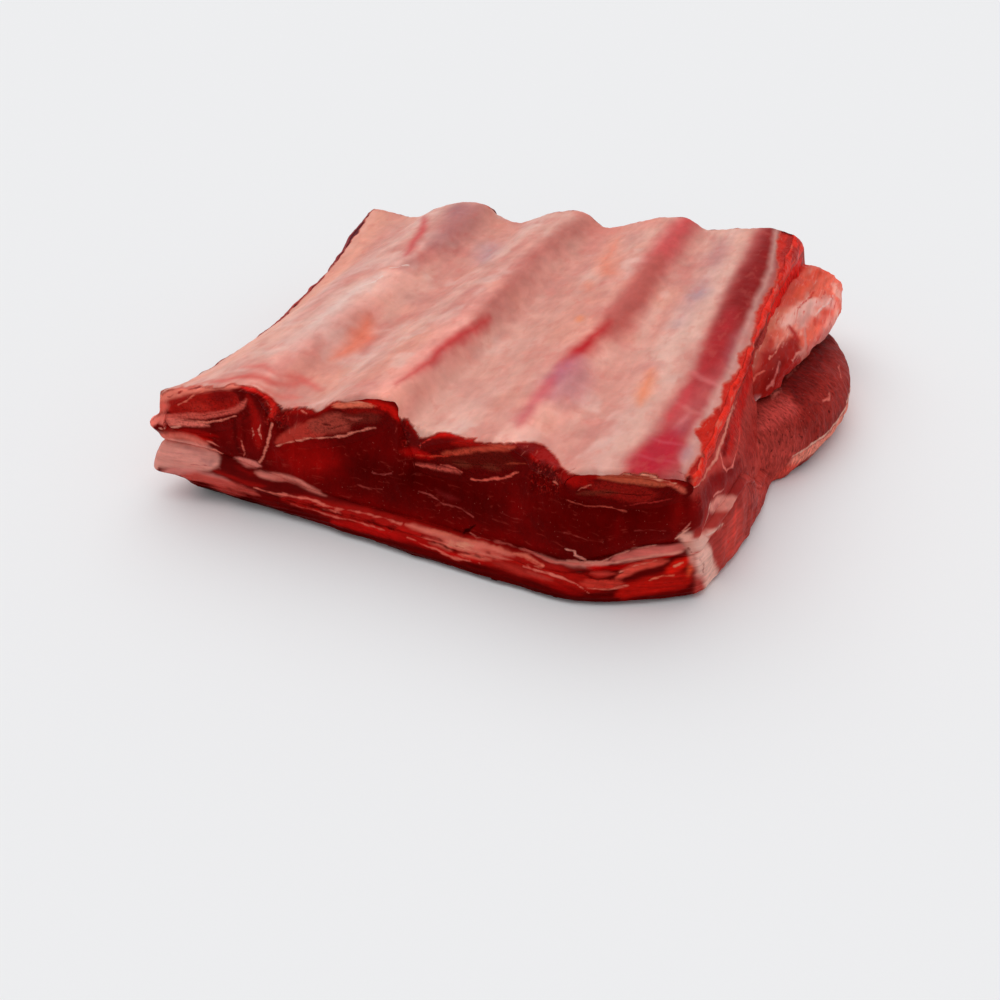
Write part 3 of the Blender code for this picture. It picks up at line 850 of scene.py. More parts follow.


# %% [markdown]
# ## The picture on the cut front
#
# The front shows everything that the slab is made of, so it is painted as one picture over all the
# layers: first the ground, then each bone with the meat beside it, then the seam. Paths are (x, z,
# width), and colours are what the eye sees. The front lies in shade, so its colours are lifted by one
# factor toward what the meat would show in full light. Shade that is deeper in places stays in the paint:
# a painted shadow along its foot and under the fat lump, painted shade over the third bone, and a painted
# highlight on the fourth bone's arc. A bone's sawn end is not a clean oval: its pale shell shows only here
# and there.

# %% Ground
FRONT_LIFT = 1.72
FRONT_BASE = (76, 1, 1)
FRONT_GROUND = (
    ((122, 5, 4), 0.9, 8, ((-66, 30, 18), (-40, 31, 16))),
    ((116, 5, 4), 0.7, 5, ((-60, 31, 7), (-51, 32, 8))),
    ((60, 0, 0), 0.9, 8, ((-32, 30, 14), (-10, 30, 14), (10, 30, 14), (38, 28, 12))),
    ((96, 2, 2), 0.7, 5, ((42, 22, 6), (44, 38, 8))),
    ((70, 0, 0), 0.8, 6, ((55, 30, 14), (75, 32, 14), (98, 38, 12))),
    ((92, 2, 2), 0.6, 3, ((85, 26, 2), (85.5, 42, 2))),
    ((98, 4, 3), 0.7, 2.5, ((107, 30, 4), (107, 50, 5))),
    ((132, 7, 4), 0.8, 1.4, (
        (-122, 47, 3), (-100, 56, 3), (-85, 59.5, 3), (-74, 61.5, 3.4), (-66, 57, 4), (-60, 52, 3.4),
        (-46, 54, 3), (-38, 59.5, 3), (-24, 62, 3.4), (-14, 62, 4), (-9, 58, 3.4), (-1, 51.5, 3),
        (8, 55, 3), (28, 57.5, 3), (40, 61.5, 3), (52, 64, 4), (60, 59, 4), (66, 55, 3.4),
        (78, 58, 3), (95, 60.5, 3), (108, 54, 3),
    )),
    ((100, 20, 20), 0.6, 1.5, ((6, 27.5, 1), (12, 26.5, 2), (17, 27, 1))),
    ((98, 2, 2), 0.7, 3, ((-50, 17, 4), (-20, 15, 4), (10, 14.5, 3), (40, 16, 4), (62, 18.5, 5))),
)

# %% First bone and the fat lump under it
FIRST_BONE = (
    ((128, 14, 9), 1.0, 1.2, ((-116, 44, 8), (-104, 47, 11), (-92, 51, 12), (-84, 54, 8))),
    ((150, 30, 22), 0.8, 2, ((-107, 46, 4), (-97, 47, 5))),
    ((100, 5, 5), 0.9, 2, ((-94, 53, 6), (-84, 55.5, 5))),
    ((168, 66, 56), 0.95, 0.8, (
        (-121, 38, 3), (-110, 40.8, 3), (-100, 42.6, 2.8), (-92, 45.6, 2.6), (-84, 49, 2.4), (-78, 54, 1.6),
    )),
    ((214, 98, 82), 0.95, 1, (
        (-126, 46, 5), (-117, 49, 4.6), (-110, 52, 4), (-100, 55.4, 3.2), (-90, 57.8, 2.4), (-80, 60, 1.4),
    )),
    ((196, 80, 68), 0.9, 1.6, ((-130, 42, 7), (-121, 43, 6), (-117, 45, 3))),
    ((212, 92, 80), 0.95, 1, (
        (-136, 35.6, 5), (-128, 36.2, 4.6), (-118, 36.4, 5.4), (-108, 37.2, 3), (-98, 38.6, 1.6),
    )),
    ((118, 4, 3), 0.95, 0.9, ((-122, 31.8, 1.6), (-113, 32.4, 2), (-104, 33.6, 2.4), (-94, 33.6, 2))),
    ((148, 8, 4), 0.9, 1, ((-118, 30.5, 1.5), (-106, 31.5, 1.6), (-97, 30.5, 1.6))),
    ((178, 112, 101), 1.0, 1.2, (
        (-140, 20, 18), (-127, 20, 17), (-112, 20.5, 14), (-102, 22, 13), (-97, 22, 8),
    )),
    ((206, 92, 78), 0.8, 1.6, ((-124, 28.5, 3), (-112, 29.5, 3), (-100, 29, 3))),
    ((150, 88, 82), 0.6, 1, ((-112, 26, 1.4), (-106, 24.6, 2), (-100, 25, 1.4))),
    ((146, 92, 88), 0.6, 1, ((-103, 22, 1.4), (-99, 19.6, 2.4), (-96.6, 22, 1.2))),
    ((160, 88, 78), 0.5, 1, ((-118, 17, 1.2), (-108, 16.4, 1.6), (-100, 17, 1))),
    ((184, 104, 96), 0.85, 1.2, ((-124, 10, 3), (-110, 12.5, 4), (-98, 12.5, 4), (-88, 11, 2.5))),
    # Painted shadow along the foot of the front, where it meets the table.
    ((50, 0, 0), 0.9, 1.2, ((-122, 4, 3), (-104, 2.5, 4.5), (-84, 1.5, 4.5), (-60, 1, 3))),
    ((160, 56, 48), 0.95, 1.2, (
        (-118, 8, 2), (-106, 11.5, 4), (-96, 10.5, 5), (-84, 10, 4), (-76, 8.5, 3),
    )),
    ((150, 48, 42), 0.8, 2, ((-100, 7, 5), (-84, 6.5, 4))),
    ((116, 5, 3), 0.95, 0.8, ((-98, 16.4, 1.6), (-90, 14.8, 2), (-80, 13.6, 2), (-72, 14, 1.6))),
    ((120, 40, 36), 0.8, 1, ((-119, 8, 1.6), (-108, 5, 1.6))),
    # A deeper painted shadow under the fat lump.
    ((30, 0, 0), 0.9, 1.5, ((-108, 2.5, 3), (-98, 2.5, 3))),
)
FIRST_LINES = (
    ((120, 3, 2), ((-116, 48.6, 0.7), (-110, 52, 0.9), (-104, 54.6, 0.8), (-99, 56.4, 0.5))),
    ((196, 96, 80), (
        (-113, 39.4, 0.6), (-105, 38.8, 0.8), (-97, 40.2, 0.8), (-91, 42.2, 0.8), (-84, 45.8, 0.6),
    )),
    ((206, 92, 74), ((-111, 46, 0.4), (-104, 51.2, 0.6), (-98, 54.6, 0.5))),
    ((222, 120, 104), ((-123, 31.5, 0.8), (-117, 33.2, 0.8), (-112, 35, 0.6))),
    ((214, 104, 90), ((-113, 36, 0.6), (-104, 38.2, 0.5))),
    ((190, 92, 78), ((-100, 30.4, 0.4), (-96.4, 29.6, 0.6), (-93.4, 28.4, 0.4))),
    ((196, 100, 86), ((-99, 27.4, 0.3), (-95.6, 26.4, 0.6), (-92.6, 25, 0.4))),
    ((150, 70, 64), ((-109, 17, 0.5), (-100, 18.6, 0.6), (-94, 18, 0.4))),
    ((176, 110, 102), ((-120, 22, 0.4), (-110, 21.4, 0.5), (-100, 20, 0.4))),
)

# %% Torn meat between the first and the second bone
FIRST_GAP = (
    ((88, 3, 3), 0.95, 3, ((-91, 38, 7), (-84, 37, 16), (-77, 38, 22), (-72, 40, 14))),
    ((56, 0, 0), 0.8, 1.2, ((-84.5, 44, 1.5), (-85, 34, 2), (-84, 26, 1.5))),
    ((62, 0, 0), 0.7, 1.2, ((-80.5, 46, 1.2), (-80.5, 32, 1.8))),
    ((126, 7, 5), 0.85, 1.4, ((-77, 56, 3), (-75, 46, 4), (-74, 38, 5), (-74, 31, 2))),
    ((172, 20, 14), 0.95, 1.2, (
        (-80, 59.5, 2), (-72, 59, 3.4), (-66, 55.5, 4), (-66.5, 51, 3), (-68, 47, 2),
    )),
    ((106, 2, 2), 0.9, 2, ((-65, 48, 5), (-56, 47.5, 5), (-49, 49, 4), (-45, 51, 2))),
    ((176, 14, 7), 0.9, 0.8, ((-48, 54.5, 1.6), (-40, 58.5, 2.2), (-35, 60.4, 1.6))),
    ((128, 8, 6), 0.8, 1.2, ((-59, 53, 3), (-52, 54, 3), (-48, 53, 2))),
    ((184, 100, 90), 0.9, 0.9, ((-87, 24, 1.4), (-81, 22.6, 3.2), (-75, 23, 2.6))),
    ((108, 4, 3), 0.8, 0.8, ((-87, 20, 1), (-80, 18.6, 1.2), (-74, 19, 1))),
    ((186, 102, 90), 0.9, 1, (
        (-77, 19.4, 2), (-69, 19.4, 3.8), (-61, 19, 3), (-53, 17.4, 2.2), (-44, 15.4, 1),
    )),
    ((150, 60, 54), 0.6, 0.8, ((-70, 18, 1), (-62, 18.4, 1.6), (-54, 17, 0.8))),
)
FIRST_GAP_LINES = (
    ((200, 100, 84), (
        (-67.4, 45, 0.7), (-68.6, 39, 0.9), (-70, 33, 0.9), (-72.4, 28, 0.9), (-75, 24.4, 1),
    )),
    ((206, 112, 96), ((-72.6, 44, 0.3), (-73.6, 40, 0.6), (-72.4, 36.5, 0.4))),
    ((206, 112, 96), ((-76.6, 41, 0.3), (-76, 38, 0.5), (-77, 35.6, 0.3))),
    ((208, 104, 88), ((-69.6, 55, 0.4), (-67, 52.4, 0.7), (-67.6, 49.6, 0.4))),
    ((196, 96, 80), ((-58, 52.4, 0.3), (-54.6, 53.6, 0.6), (-51.6, 52.2, 0.3))),
    ((184, 84, 70), ((-82, 33, 0.3), (-81.4, 28, 0.5), (-82.6, 25, 0.3))),
)

# %% Second bone
SECOND_BONE = (
    ((150, 42, 33), 0.95, 1, ((-66, 35.5, 3), (-58, 41, 6), (-50, 44, 8), (-46, 46, 9))),
    ((134, 48, 38), 0.95, 1.6, ((-49, 45.5, 7), (-41, 48.5, 9), (-35, 51, 9))),
    ((88, 20, 14), 0.95, 1.6, ((-35, 52.5, 6), (-26, 54.5, 6), (-19, 55.5, 5))),
    ((146, 58, 48), 0.7, 1, ((-34, 52.6, 1.8), (-27, 54, 2))),
    ((110, 8, 5), 0.9, 1, ((-35, 56.6, 1.5), (-26, 58.2, 2), (-17, 58, 2.5))),
    ((188, 88, 66), 0.95, 0.7, ((-40, 57.2, 1.2), (-33, 59.3, 2), (-27, 60.6, 2.2), (-20, 60.8, 1.6))),
    ((158, 9, 5), 0.95, 1, ((-24, 62.5, 2), (-18, 61.5, 3.4), (-13, 60.5, 4), (-10, 56.5, 2.4))),
    ((78, 1, 1), 0.8, 3, ((-20, 50, 6), (-12, 50, 9), (-6, 48, 7))),
)
SECOND_LINES = (
    ((204, 108, 90), (
        (-66, 34, 0.5), (-60, 37, 0.9), (-53, 39.4, 0.9), (-47, 40.6, 0.7), (-40, 42.4, 0.9),
    )),
    ((194, 100, 84), (
        (-40, 42.4, 0.9), (-35, 44, 0.8), (-31, 46.4, 0.9), (-26, 48.4, 0.8), (-21, 50, 0.5),
    )),
    ((84, 14, 10), ((-43.5, 47.5, 0.8), (-41.5, 47.6, 0.8))),
    ((210, 116, 92), ((-37, 59.4, 0.4), (-29, 61.4, 0.5), (-22, 61.6, 0.3))),
    ((150, 50, 42), ((-13, 57, 0.3), (-11, 53, 0.6), (-12, 50, 0.3))),
)

# %% Third bone and the meat before it
# The third bone's end lies mostly in shade, so its dark browns are partly painted shade.
THIRD_BONE = (
    ((150, 6, 5), 0.9, 1.6, ((-9, 43, 2.5), (-3, 42.5, 4), (4, 42.5, 3))),
    ((86, 0, 0), 0.9, 2, ((1, 48.5, 5), (8, 50.5, 5), (14, 51.5, 3))),
    ((76, 9, 5), 0.95, 1.4, ((8, 42, 5), (18, 47, 8), (30, 50, 10), (42, 53.5, 8))),
    ((92, 32, 20), 0.75, 1.6, ((14, 43, 2.5), (22, 44.5, 3))),
    ((98, 34, 22), 0.75, 1.4, ((28, 45.4, 2), (35, 46.5, 2.4))),
    ((156, 52, 36), 0.95, 0.9, (
        (9, 45.6, 1.6), (18, 50.2, 2.2), (25, 53.2, 2.4), (33, 56.2, 2.4), (42, 59.4, 2),
    )),
    ((138, 10, 5), 0.85, 1, ((14, 52.4, 2), (23, 55.6, 2.6), (30, 57.4, 1.6))),
    ((142, 52, 44), 0.9, 0.8, ((-4, 37, 1), (4, 37.6, 1.8), (11, 38.6, 2), (17, 39, 1.2))),
    ((170, 10, 5), 0.9, 1, (
        (-8, 57.5, 1.4), (-4, 55, 2), (-1, 51.5, 1.6), (5, 52.5, 1.4), (12, 56, 1.4), (22, 56.8, 1.4),
    )),
)
THIRD_LINES = (
    ((202, 40, 32), ((-1, 46.4, 0.4), (1.4, 49, 0.7), (4, 51, 0.4))),
    ((170, 40, 26), ((-6, 41, 0.4), (3, 42.6, 0.7), (10, 45, 0.8), (15.5, 47.6, 0.7))),
    ((208, 92, 74), ((27, 56.8, 0.5), (35, 59.4, 0.8), (42, 62, 0.9), (48, 64, 0.6))),
    ((52, 0, 0), ((30, 59, 0.3), (37, 61.2, 0.6), (44, 63.8, 0.3))),
    ((190, 76, 62), (
        (22, 37.8, 0.5), (27, 38.6, 0.8), (31, 41, 0.9), (36, 43, 0.9), (40, 45.6, 0.8), (43.6, 48.8, 0.4),
    )),
    ((178, 72, 60), ((-4, 36.6, 0.4), (3, 37, 0.7), (8, 37.6, 0.8), (15, 39.2, 0.5))),
    ((178, 72, 60), ((8, 40, 0.4), (14, 40.4, 0.7), (18, 39.8, 0.3))),
    ((128, 40, 26), ((37, 50, 0.3), (42, 52.4, 0.8), (47, 54, 0.4))),
    ((160, 66, 60), ((-8, 36, 0.4), (-7.4, 40, 0.5), (-5, 40.4, 0.4))),
)

# %% Fourth bone and the meat before it
FOURTH_BONE = (
    ((150, 6, 4), 0.9, 2, ((50, 57.5, 4), (55, 60.5, 6), (60, 57, 3))),
    ((76, 0, 0), 0.9, 2.5, ((50, 46, 8), (59, 46, 9))),
    ((132, 6, 4), 0.85, 1.6, ((61, 53, 3), (68, 52.6, 5), (75, 53.5, 3))),
    ((110, 13, 9), 0.95, 1.4, ((74, 52, 5), (86, 51, 8), (98, 50.6, 7))),
    ((152, 62, 42), 0.95, 1, ((77, 56.4, 2), (86, 57.2, 3), (96, 56.8, 3), (103, 54.8, 2))),
    ((172, 72, 56), 0.9, 0.9, ((102, 56, 1.4), (106, 53.6, 1.8), (109, 50.6, 1.6))),
    ((90, 26, 16), 0.85, 1, ((69, 47.2, 1.6), (76, 49.2, 2), (85, 50, 1.4))),
    ((64, 0, 0), 0.8, 2, ((62, 43, 4), (78, 42, 5), (96, 42.5, 5))),
)
FOURTH_LINES = (
    # The pale line along the top of the fourth bone's arc is its shell with a painted highlight on it.
    ((214, 118, 96), (
        (78, 57.8, 0.5), (84, 59.2, 1), (90, 59.8, 1), (96, 59.2, 0.9), (101, 57.6, 0.7), (105, 55.4, 0.4),
    )),
    ((198, 24, 14), ((86, 61, 0.4), (93, 61, 0.7), (99, 59.4, 0.4))),
    ((204, 108, 92), ((57.6, 61.6, 0.3), (59.6, 60, 0.7), (62, 57.8, 0.4))),
    ((196, 92, 76), ((59.4, 50, 0.5), (60.6, 49.6, 0.5))),
    ((196, 92, 76), ((68, 47.6, 0.3), (70.6, 50, 0.7), (74, 52.4, 0.5))),
    ((138, 30, 26), ((87, 45, 0.3), (92, 46.6, 0.6), (98, 47.2, 0.6), (104, 48.2, 0.3))),
    ((160, 60, 48), ((62, 44, 0.3), (72, 42.4, 0.5), (82, 43.4, 0.6), (88, 42.4, 0.3))),
    ((170, 70, 56), ((81.4, 43.4, 0.6), (82.6, 43.6, 0.6))),
    ((150, 50, 40), ((86.6, 45, 0.5), (87.8, 45.2, 0.5))),
)

# %% Main muscle's marbling, and the seam under it
MARBLING = (
    ((130, 48, 44), ((-23, 30, 0.3), (-17, 30.4, 0.6), (-13, 31.4, 0.3))),
    ((136, 52, 46), (
        (-2, 25, 0.4), (4, 25, 0.7), (10, 22.8, 0.7), (15, 23.2, 0.6), (19, 22.8, 0.6), (23.6, 20.4, 0.3),
    )),
    ((128, 44, 38), ((-30, 23, 0.3), (-24, 21.6, 0.5), (-18, 22.4, 0.3))),
    ((120, 36, 32), ((36, 27, 0.3), (42, 26, 0.5), (47, 27.4, 0.3))),
    ((124, 40, 34), ((60, 27.6, 0.3), (67, 28.4, 0.5), (74, 27, 0.3))),
    ((116, 34, 30), ((92, 33.6, 0.3), (98, 34.6, 0.5), (103, 33.4, 0.3))),
    ((24, 0, 0), ((19.6, 12.8, 1.2), (22, 15, 2), (25, 17.4, 0.8))),
    ((206, 118, 104), ((65.4, 20.4, 0.5), (68.8, 21, 0.8), (69, 18.8, 1.2), (73.4, 17.8, 0.7))),
    ((190, 100, 88), ((22.6, 13, 0.5), (25.2, 12.4, 0.6))),
)
FRONT_SEAM = (
    ((138, 12, 8), 0.95, 1.5, (
        (-64, 10, 6), (-30, 10, 6), (0, 9.5, 6), (40, 9, 7), (70, 9, 8), (84, 10, 8),
    )),
    ((150, 10, 8), 0.85, 1.2, ((-40, 5, 4), (0, 6.5, 3), (14, 6, 2.4), (35, 6, 2.4))),
    ((188, 92, 78), 0.95, 0.8, (
        (-6, 10.4, 1), (4, 10, 1.8), (14, 9.8, 2), (24, 9.8, 2.2), (33, 10.2, 1.8), (44, 11.2, 1),
    )),
    ((152, 68, 56), 0.85, 0.8, ((6, 7.4, 1.2), (12, 7.6, 1.8), (17, 8, 1))),
    ((176, 78, 64), 0.85, 0.8, ((20, 7.2, 1), (27, 7.4, 1.8), (35, 8.2, 1.2))),
    ((138, 32, 26), 0.8, 1.2, ((36, 7.6, 2), (46, 7.2, 3.4), (55, 7.6, 2))),
    ((158, 50, 42), 0.8, 0.9, ((50, 7.6, 1.4), (62, 7.6, 1.4))),
    ((126, 5, 4), 0.9, 1.4, ((62, 5, 3), (74, 4, 3))),
    ((196, 108, 96), 0.85, 0.8, (
        (52, 13.6, 0.8), (62, 13.8, 1.2), (70, 15, 1.6), (78, 16.8, 2.2), (84, 19, 2.4),
    )),
    ((178, 84, 76), 0.95, 0.9, (
        (84, 20, 2.6), (90, 23, 3.6), (97, 24.6, 4.4), (104, 24.8, 4.4), (110, 25, 5),
    )),
    ((210, 116, 102), 0.8, 0.8, ((84, 18.4, 0.8), (92, 21, 1.2), (100, 22.6, 1.2), (110, 23.4, 1.6))),
    ((152, 0, 0), 0.95, 0.8, (
        (75, 15.2, 1.6), (84, 16.2, 2), (92, 18.6, 2), (100, 20.6, 1.8), (107, 22, 1.2),
    )),
    ((168, 44, 34), 0.9, 1, ((74, 9, 4), (82, 9.6, 4.4), (90, 9.6, 3))),
    ((160, 44, 36), 0.85, 0.8, ((77, 13.8, 1.6), (86, 14, 1.8))),
    ((180, 58, 46), 0.95, 1, ((87, 12.4, 3.4), (93, 16.6, 4), (98, 18.6, 3.8), (105, 19.4, 3))),
    ((156, 14, 8), 0.95, 1.6, ((88, 5, 6), (98, 8, 8), (108, 9.5, 9), (113, 9, 7))),
    ((184, 18, 8), 0.9, 1.4, ((106, 14, 4), (109.5, 17, 6), (112.5, 18.6, 4))),
    ((212, 60, 36), 0.8, 1.2, ((113.6, 11, 2), (114.6, 17, 2.4))),
    # Painted shadow along the foot of the front, where it meets the table.
    ((60, 0, 0), 0.85, 1.5, ((-60, 1, 3), (0, 1, 3), (60, 1, 3), (90, 1, 2))),
)
SEAM_LINES = (
    ((176, 82, 72), (
        (26, 12.1, 0.4), (38, 13, 0.7), (50, 13.4, 0.8), (60, 13.5, 0.8), (68, 14.8, 0.8), (76, 16.2, 0.7),
    )),
    ((204, 112, 98), (
        (66, 15.4, 0.6), (74, 17, 0.9), (80, 18.6, 0.9), (86, 22.6, 0.7), (92, 26, 0.6), (100, 27.2, 0.6),
    )),
    ((202, 92, 74), (
        (1, 10.4, 0.5), (12, 10.8, 0.8), (24, 10.7, 0.9), (36, 11.2, 0.8), (48, 11.4, 0.8), (57, 11.2, 0.4),
    )),
    ((214, 116, 94), ((15, 9.6, 0.6), (21, 9.8, 1), (26, 9.6, 0.5))),
    ((60, 0, 0), ((2, 8.6, 0.4), (18, 8, 0.8), (28, 8.2, 0.8), (38, 9.2, 0.7), (48, 9.6, 0.3))),
    ((198, 96, 82), ((48, 9.4, 0.5), (58, 9.9, 0.9), (66, 9.6, 0.9), (72, 8, 0.8), (77, 5, 0.6))),
    ((186, 84, 70), ((-4, 7, 0.3), (6, 5.8, 0.6), (18, 5, 0.7), (30, 5.2, 0.4))),
    ((70, 0, 0), ((75, 12.8, 0.5), (80, 11.5, 0.8), (84, 12, 0.8), (88, 14.6, 0.7), (91, 16.4, 0.3))),
    ((206, 96, 80), ((76, 7.2, 0.4), (84, 7.2, 0.7), (92, 8.8, 0.5))),
    ((218, 110, 92), ((88, 14.8, 0.4), (94, 18.2, 0.7), (101, 20.4, 0.5))),
    ((226, 104, 80), ((108, 16.2, 1.4), (110.4, 17.6, 1.2))),
    ((220, 92, 70), ((99, 10.4, 0.4), (104, 12.4, 0.7), (108, 12, 0.4))),
    ((90, 4, 4), ((111.6, 24.6, 0.7), (113.4, 22.6, 0.9))),
    ((190, 90, 76), (
        (-78, 12, 0.5), (-66, 11.4, 0.8), (-52, 12, 0.8), (-38, 10.6, 0.8), (-22, 11, 0.7), (-8, 10.2, 0.5),
    )),
    ((178, 78, 66), ((-60, 8.4, 0.4), (-44, 7.6, 0.7), (-28, 8, 0.7), (-12, 7.4, 0.4))),
    ((60, 0, 0), ((-62, 9.8, 0.3), (-46, 9.6, 0.6), (-30, 9.4, 0.6), (-10, 9, 0.3))),
)

# %% Front right corner
FRONT_CORNER = (
    ((96, 4, 4), 0.9, 2, ((112, 34, 3), (112, 46, 4))),
    ((206, 132, 118), 0.9, 1.4, ((109, 31, 2), (112, 29, 6), (115, 25, 7), (116, 16, 4))),
)
CORNER_LINES = (
    ((206, 124, 108), ((107, 29.6, 0.4), (110, 32.4, 0.7), (113, 35, 0.5))),
    ((190, 100, 88), ((109.6, 33, 0.3), (112.6, 37.4, 0.6), (113.6, 41, 0.3))),
)
FRONT_STROKES = (
    FRONT_GROUND + FRONT_SEAM + FIRST_BONE + FIRST_GAP + SECOND_BONE + THIRD_BONE + FOURTH_BONE
    + FRONT_CORNER
)
FRONT_LINES = (
    FIRST_LINES + FIRST_GAP_LINES + SECOND_LINES + THIRD_LINES + FOURTH_LINES + MARBLING + SEAM_LINES
    + CORNER_LINES
)
print("front:", len(FRONT_STROKES), "strokes and", len(FRONT_LINES), "fine lines")

# %% [markdown]
# ## The picture on the right side
#
# The right side shows, from the skin down: a strip of bright red meat, a pale film, dark muscle in a
# hollow, and at the front corner a patch of fat beside pink meat. Paths are (y, z, width).

# %% Right side
# The right side lies in shade, so its colours are lifted, as the front's are.
SIDE_LIFT = 1.55
SIDE_BASE = (150, 46, 40)
SIDE_STROKES = (
    ((134, 24, 20), 0.7, 6, ((54, 34, 8), (70, 30, 10), (90, 30, 12))),
    ((170, 58, 50), 0.7, 5, ((60, 14, 10), (80, 14, 10), (95, 14, 10))),
    ((142, 52, 50), 0.6, 3, ((48, 20, 4), (54, 10, 5))),
    ((172, 56, 48), 0.95, 2.5, ((32, 20, 8), (26, 14, 14), (30, 6, 14), (38, 3, 8))),
    ((192, 50, 40), 0.7, 1.6, ((32, 26, 2.5), (29, 19, 3), (27, 13, 2.5))),
    ((122, 34, 34), 0.7, 1.5, ((24, 0, 3), (50, 0, 3))),
    ((118, 16, 14), 0.85, 3, ((-8, 41, 16), (6, 40, 16), (18, 38, 15), (32, 34, 13), (48, 32, 8))),
    ((106, 7, 7), 0.95, 2, (
        (-8, 43, 8), (6, 44, 7), (16, 44, 6.5), (25, 42, 5.5), (36, 39, 5), (48, 36.5, 4),
    )),
    ((92, 4, 4), 0.8, 2, ((-4, 36, 6), (3, 41, 6))),
    ((192, 116, 104), 0.95, 1.3, ((10, 37.5, 3), (17, 34, 6), (25, 30.6, 6), (31, 29.6, 2.6))),
    ((164, 84, 80), 0.8, 1.2, ((14, 35, 2.4), (20, 31.6, 2.6))),
    ((216, 150, 137), 1.0, 1.4, (
        (-3, 27, 4), (3, 26, 6), (4, 20, 9), (5, 13, 10), (8, 6, 10), (10, 1, 11),
    )),
    ((212, 140, 126), 0.95, 1, ((6, 27.4, 3), (13, 24.4, 2.2), (20, 22.6, 1.2))),
    ((196, 116, 106), 0.6, 1.4, ((-1, 12, 2), (4, 6, 2))),
    ((158, 16, 11), 0.95, 1.6, ((36, 45.4, 4), (48, 45.6, 5.4), (60, 47, 3.6), (67, 47.6, 2))),
    ((104, 2, 2), 0.95, 1, ((33, 46.2, 2.4), (40, 46.8, 2.2), (50, 47.8, 1.6))),
    ((166, 14, 10), 0.9, 2, ((58, 43, 3), (76, 46.6, 6), (92, 48.6, 6), (112, 49, 5))),
    ((206, 16, 8), 0.95, 1.4, ((150, 49.4, 4), (176, 49, 6), (200, 48, 7), (230, 48, 7))),
    ((150, 4, 4), 0.7, 1.4, ((172, 46.6, 2), (196, 46, 2.4), (214, 47, 2))),
    ((106, 2, 2), 0.95, 0.9, (
        (66, 53, 1), (76, 53.4, 1.6), (92, 54, 2), (106, 53.8, 2.6), (120, 52.8, 3.4), (136, 53, 2.6),
        (150, 53.6, 1),
    )),
)
SIDE_LINES = (
    ((230, 120, 104), (
        (-3, 53.6, 0.8), (2, 52, 0.9), (11, 49.9, 1), (22, 49.2, 1), (32, 49.1, 1), (43, 49.3, 1),
        (56, 50.4, 0.9), (68, 50.8, 0.8), (77, 53, 0.5),
    )),
    ((206, 100, 90), ((32, 47.4, 0.7), (29, 44.6, 1.1), (31, 41.4, 1.1), (37, 40.6, 0.9), (46, 40.6, 0.5))),
    ((186, 60, 52), ((46, 40.8, 0.5), (56, 41.8, 0.7), (64, 43.6, 0.6), (69, 46, 0.4))),
    ((224, 120, 104), ((62, 50, 0.5), (67, 49.4, 0.8), (73, 49.6, 0.5))),
    ((222, 150, 136), ((12, 40, 0.6), (9, 36.6, 0.9), (6, 32.6, 1.1), (4, 29, 0.9))),
    ((226, 160, 146), ((6, 26.8, 0.5), (14, 24, 0.9), (21, 22.4, 0.5))),
    ((200, 112, 102), ((25, 38, 0.4), (21, 37.6, 0.6), (14, 39.6, 0.5))),
    ((182, 76, 68), ((74, 43, 0.3), (80, 38, 0.6), (82, 32, 0.3))),
    ((112, 22, 20), ((58, 30, 0.3), (60, 24, 0.7), (59, 18, 0.3))),
    ((112, 22, 20), ((68, 26, 0.3), (70, 18, 0.6), (69, 12, 0.3))),
    ((108, 24, 24), ((50, 22, 0.4), (51, 17, 1), (50, 13, 0.4))),
    ((212, 16, 10), ((22, 14.2, 1), (23, 12.6, 1))),
    ((126, 40, 40), ((1, 19, 0.3), (3, 15, 0.5), (2, 11, 0.3))),
)

# %% Left side
LEFT_STROKES = (
    ((122, 15, 13), 0.9, 8, ((0, 34, 16), (110, 32, 18), (230, 34, 16))),
    ((94, 6, 6), 0.7, 5, ((50, 26, 6), (120, 25, 8), (200, 26, 6))),
    ((204, 130, 116), 0.95, 1.6, ((-12, 20, 18), (8, 19, 15), (24, 17, 9), (48, 14.5, 5), (90, 13.5, 4.4))),
    ((200, 118, 104), 0.95, 1.4, (
        (60, 14, 4.4), (110, 13.5, 4), (160, 13.5, 5), (200, 13.5, 4), (240, 13.5, 4),
    )),
    ((186, 96, 84), 0.8, 2, ((64, 22, 3), (100, 21, 5), (136, 19, 3))),
    ((146, 32, 27), 0.8, 3, ((20, 5, 7), (100, 5, 7), (230, 5, 7))),
    ((194, 80, 68), 0.9, 2.4, ((-14, 46, 11), (4, 46, 10), (16, 45, 5))),
)
LEFT_LINES = (
    ((206, 120, 106), ((30, 40, 0.4), (60, 38.6, 0.8), (92, 39.6, 0.7), (120, 38, 0.4))),
    ((200, 104, 90), ((130, 30, 0.4), (150, 28.6, 0.8), (178, 30, 0.4))),
    ((70, 2, 2), ((40, 10, 0.5), (90, 9.6, 1), (150, 10, 0.8), (200, 9.4, 0.4))),
    ((196, 100, 88), ((60, 5.6, 0.4), (96, 4.8, 0.8), (128, 5.4, 0.4))),
)

# %% Bright strip under the skin's edge on the right: (y, its lower edge)
STRIP_LOW = (
    (-4, 53.5), (0, 52.4), (11, 49.8), (25, 49.2), (44, 49.4), (56, 50.4), (68, 51.4), (77, 53.2),
    (90, 54.8), (115, 55.2), (150, 54.6), (190, 53), (215, 53.4), (240, 49),
)

# %% [markdown]
# ## Where each picture goes
#
# A stroke near an upper edge runs on over it, on to the top. The strokes were read from the camera's
# place, so a point behind the edge takes the stroke that lies in line with it. The relief moves a wall's
# points in and out, which would smear a stroke down a ledge, so each point is first moved along its line
# of sight on to the wall without relief. The back cut shows the same bones and muscles as the front, so
# it gets the front's picture, moved rib by rib.

# %% Places in the pictures
EYE = np.array([163.4, -392.1, 321.5])
RIBS_LIFT_FROM = 20.0


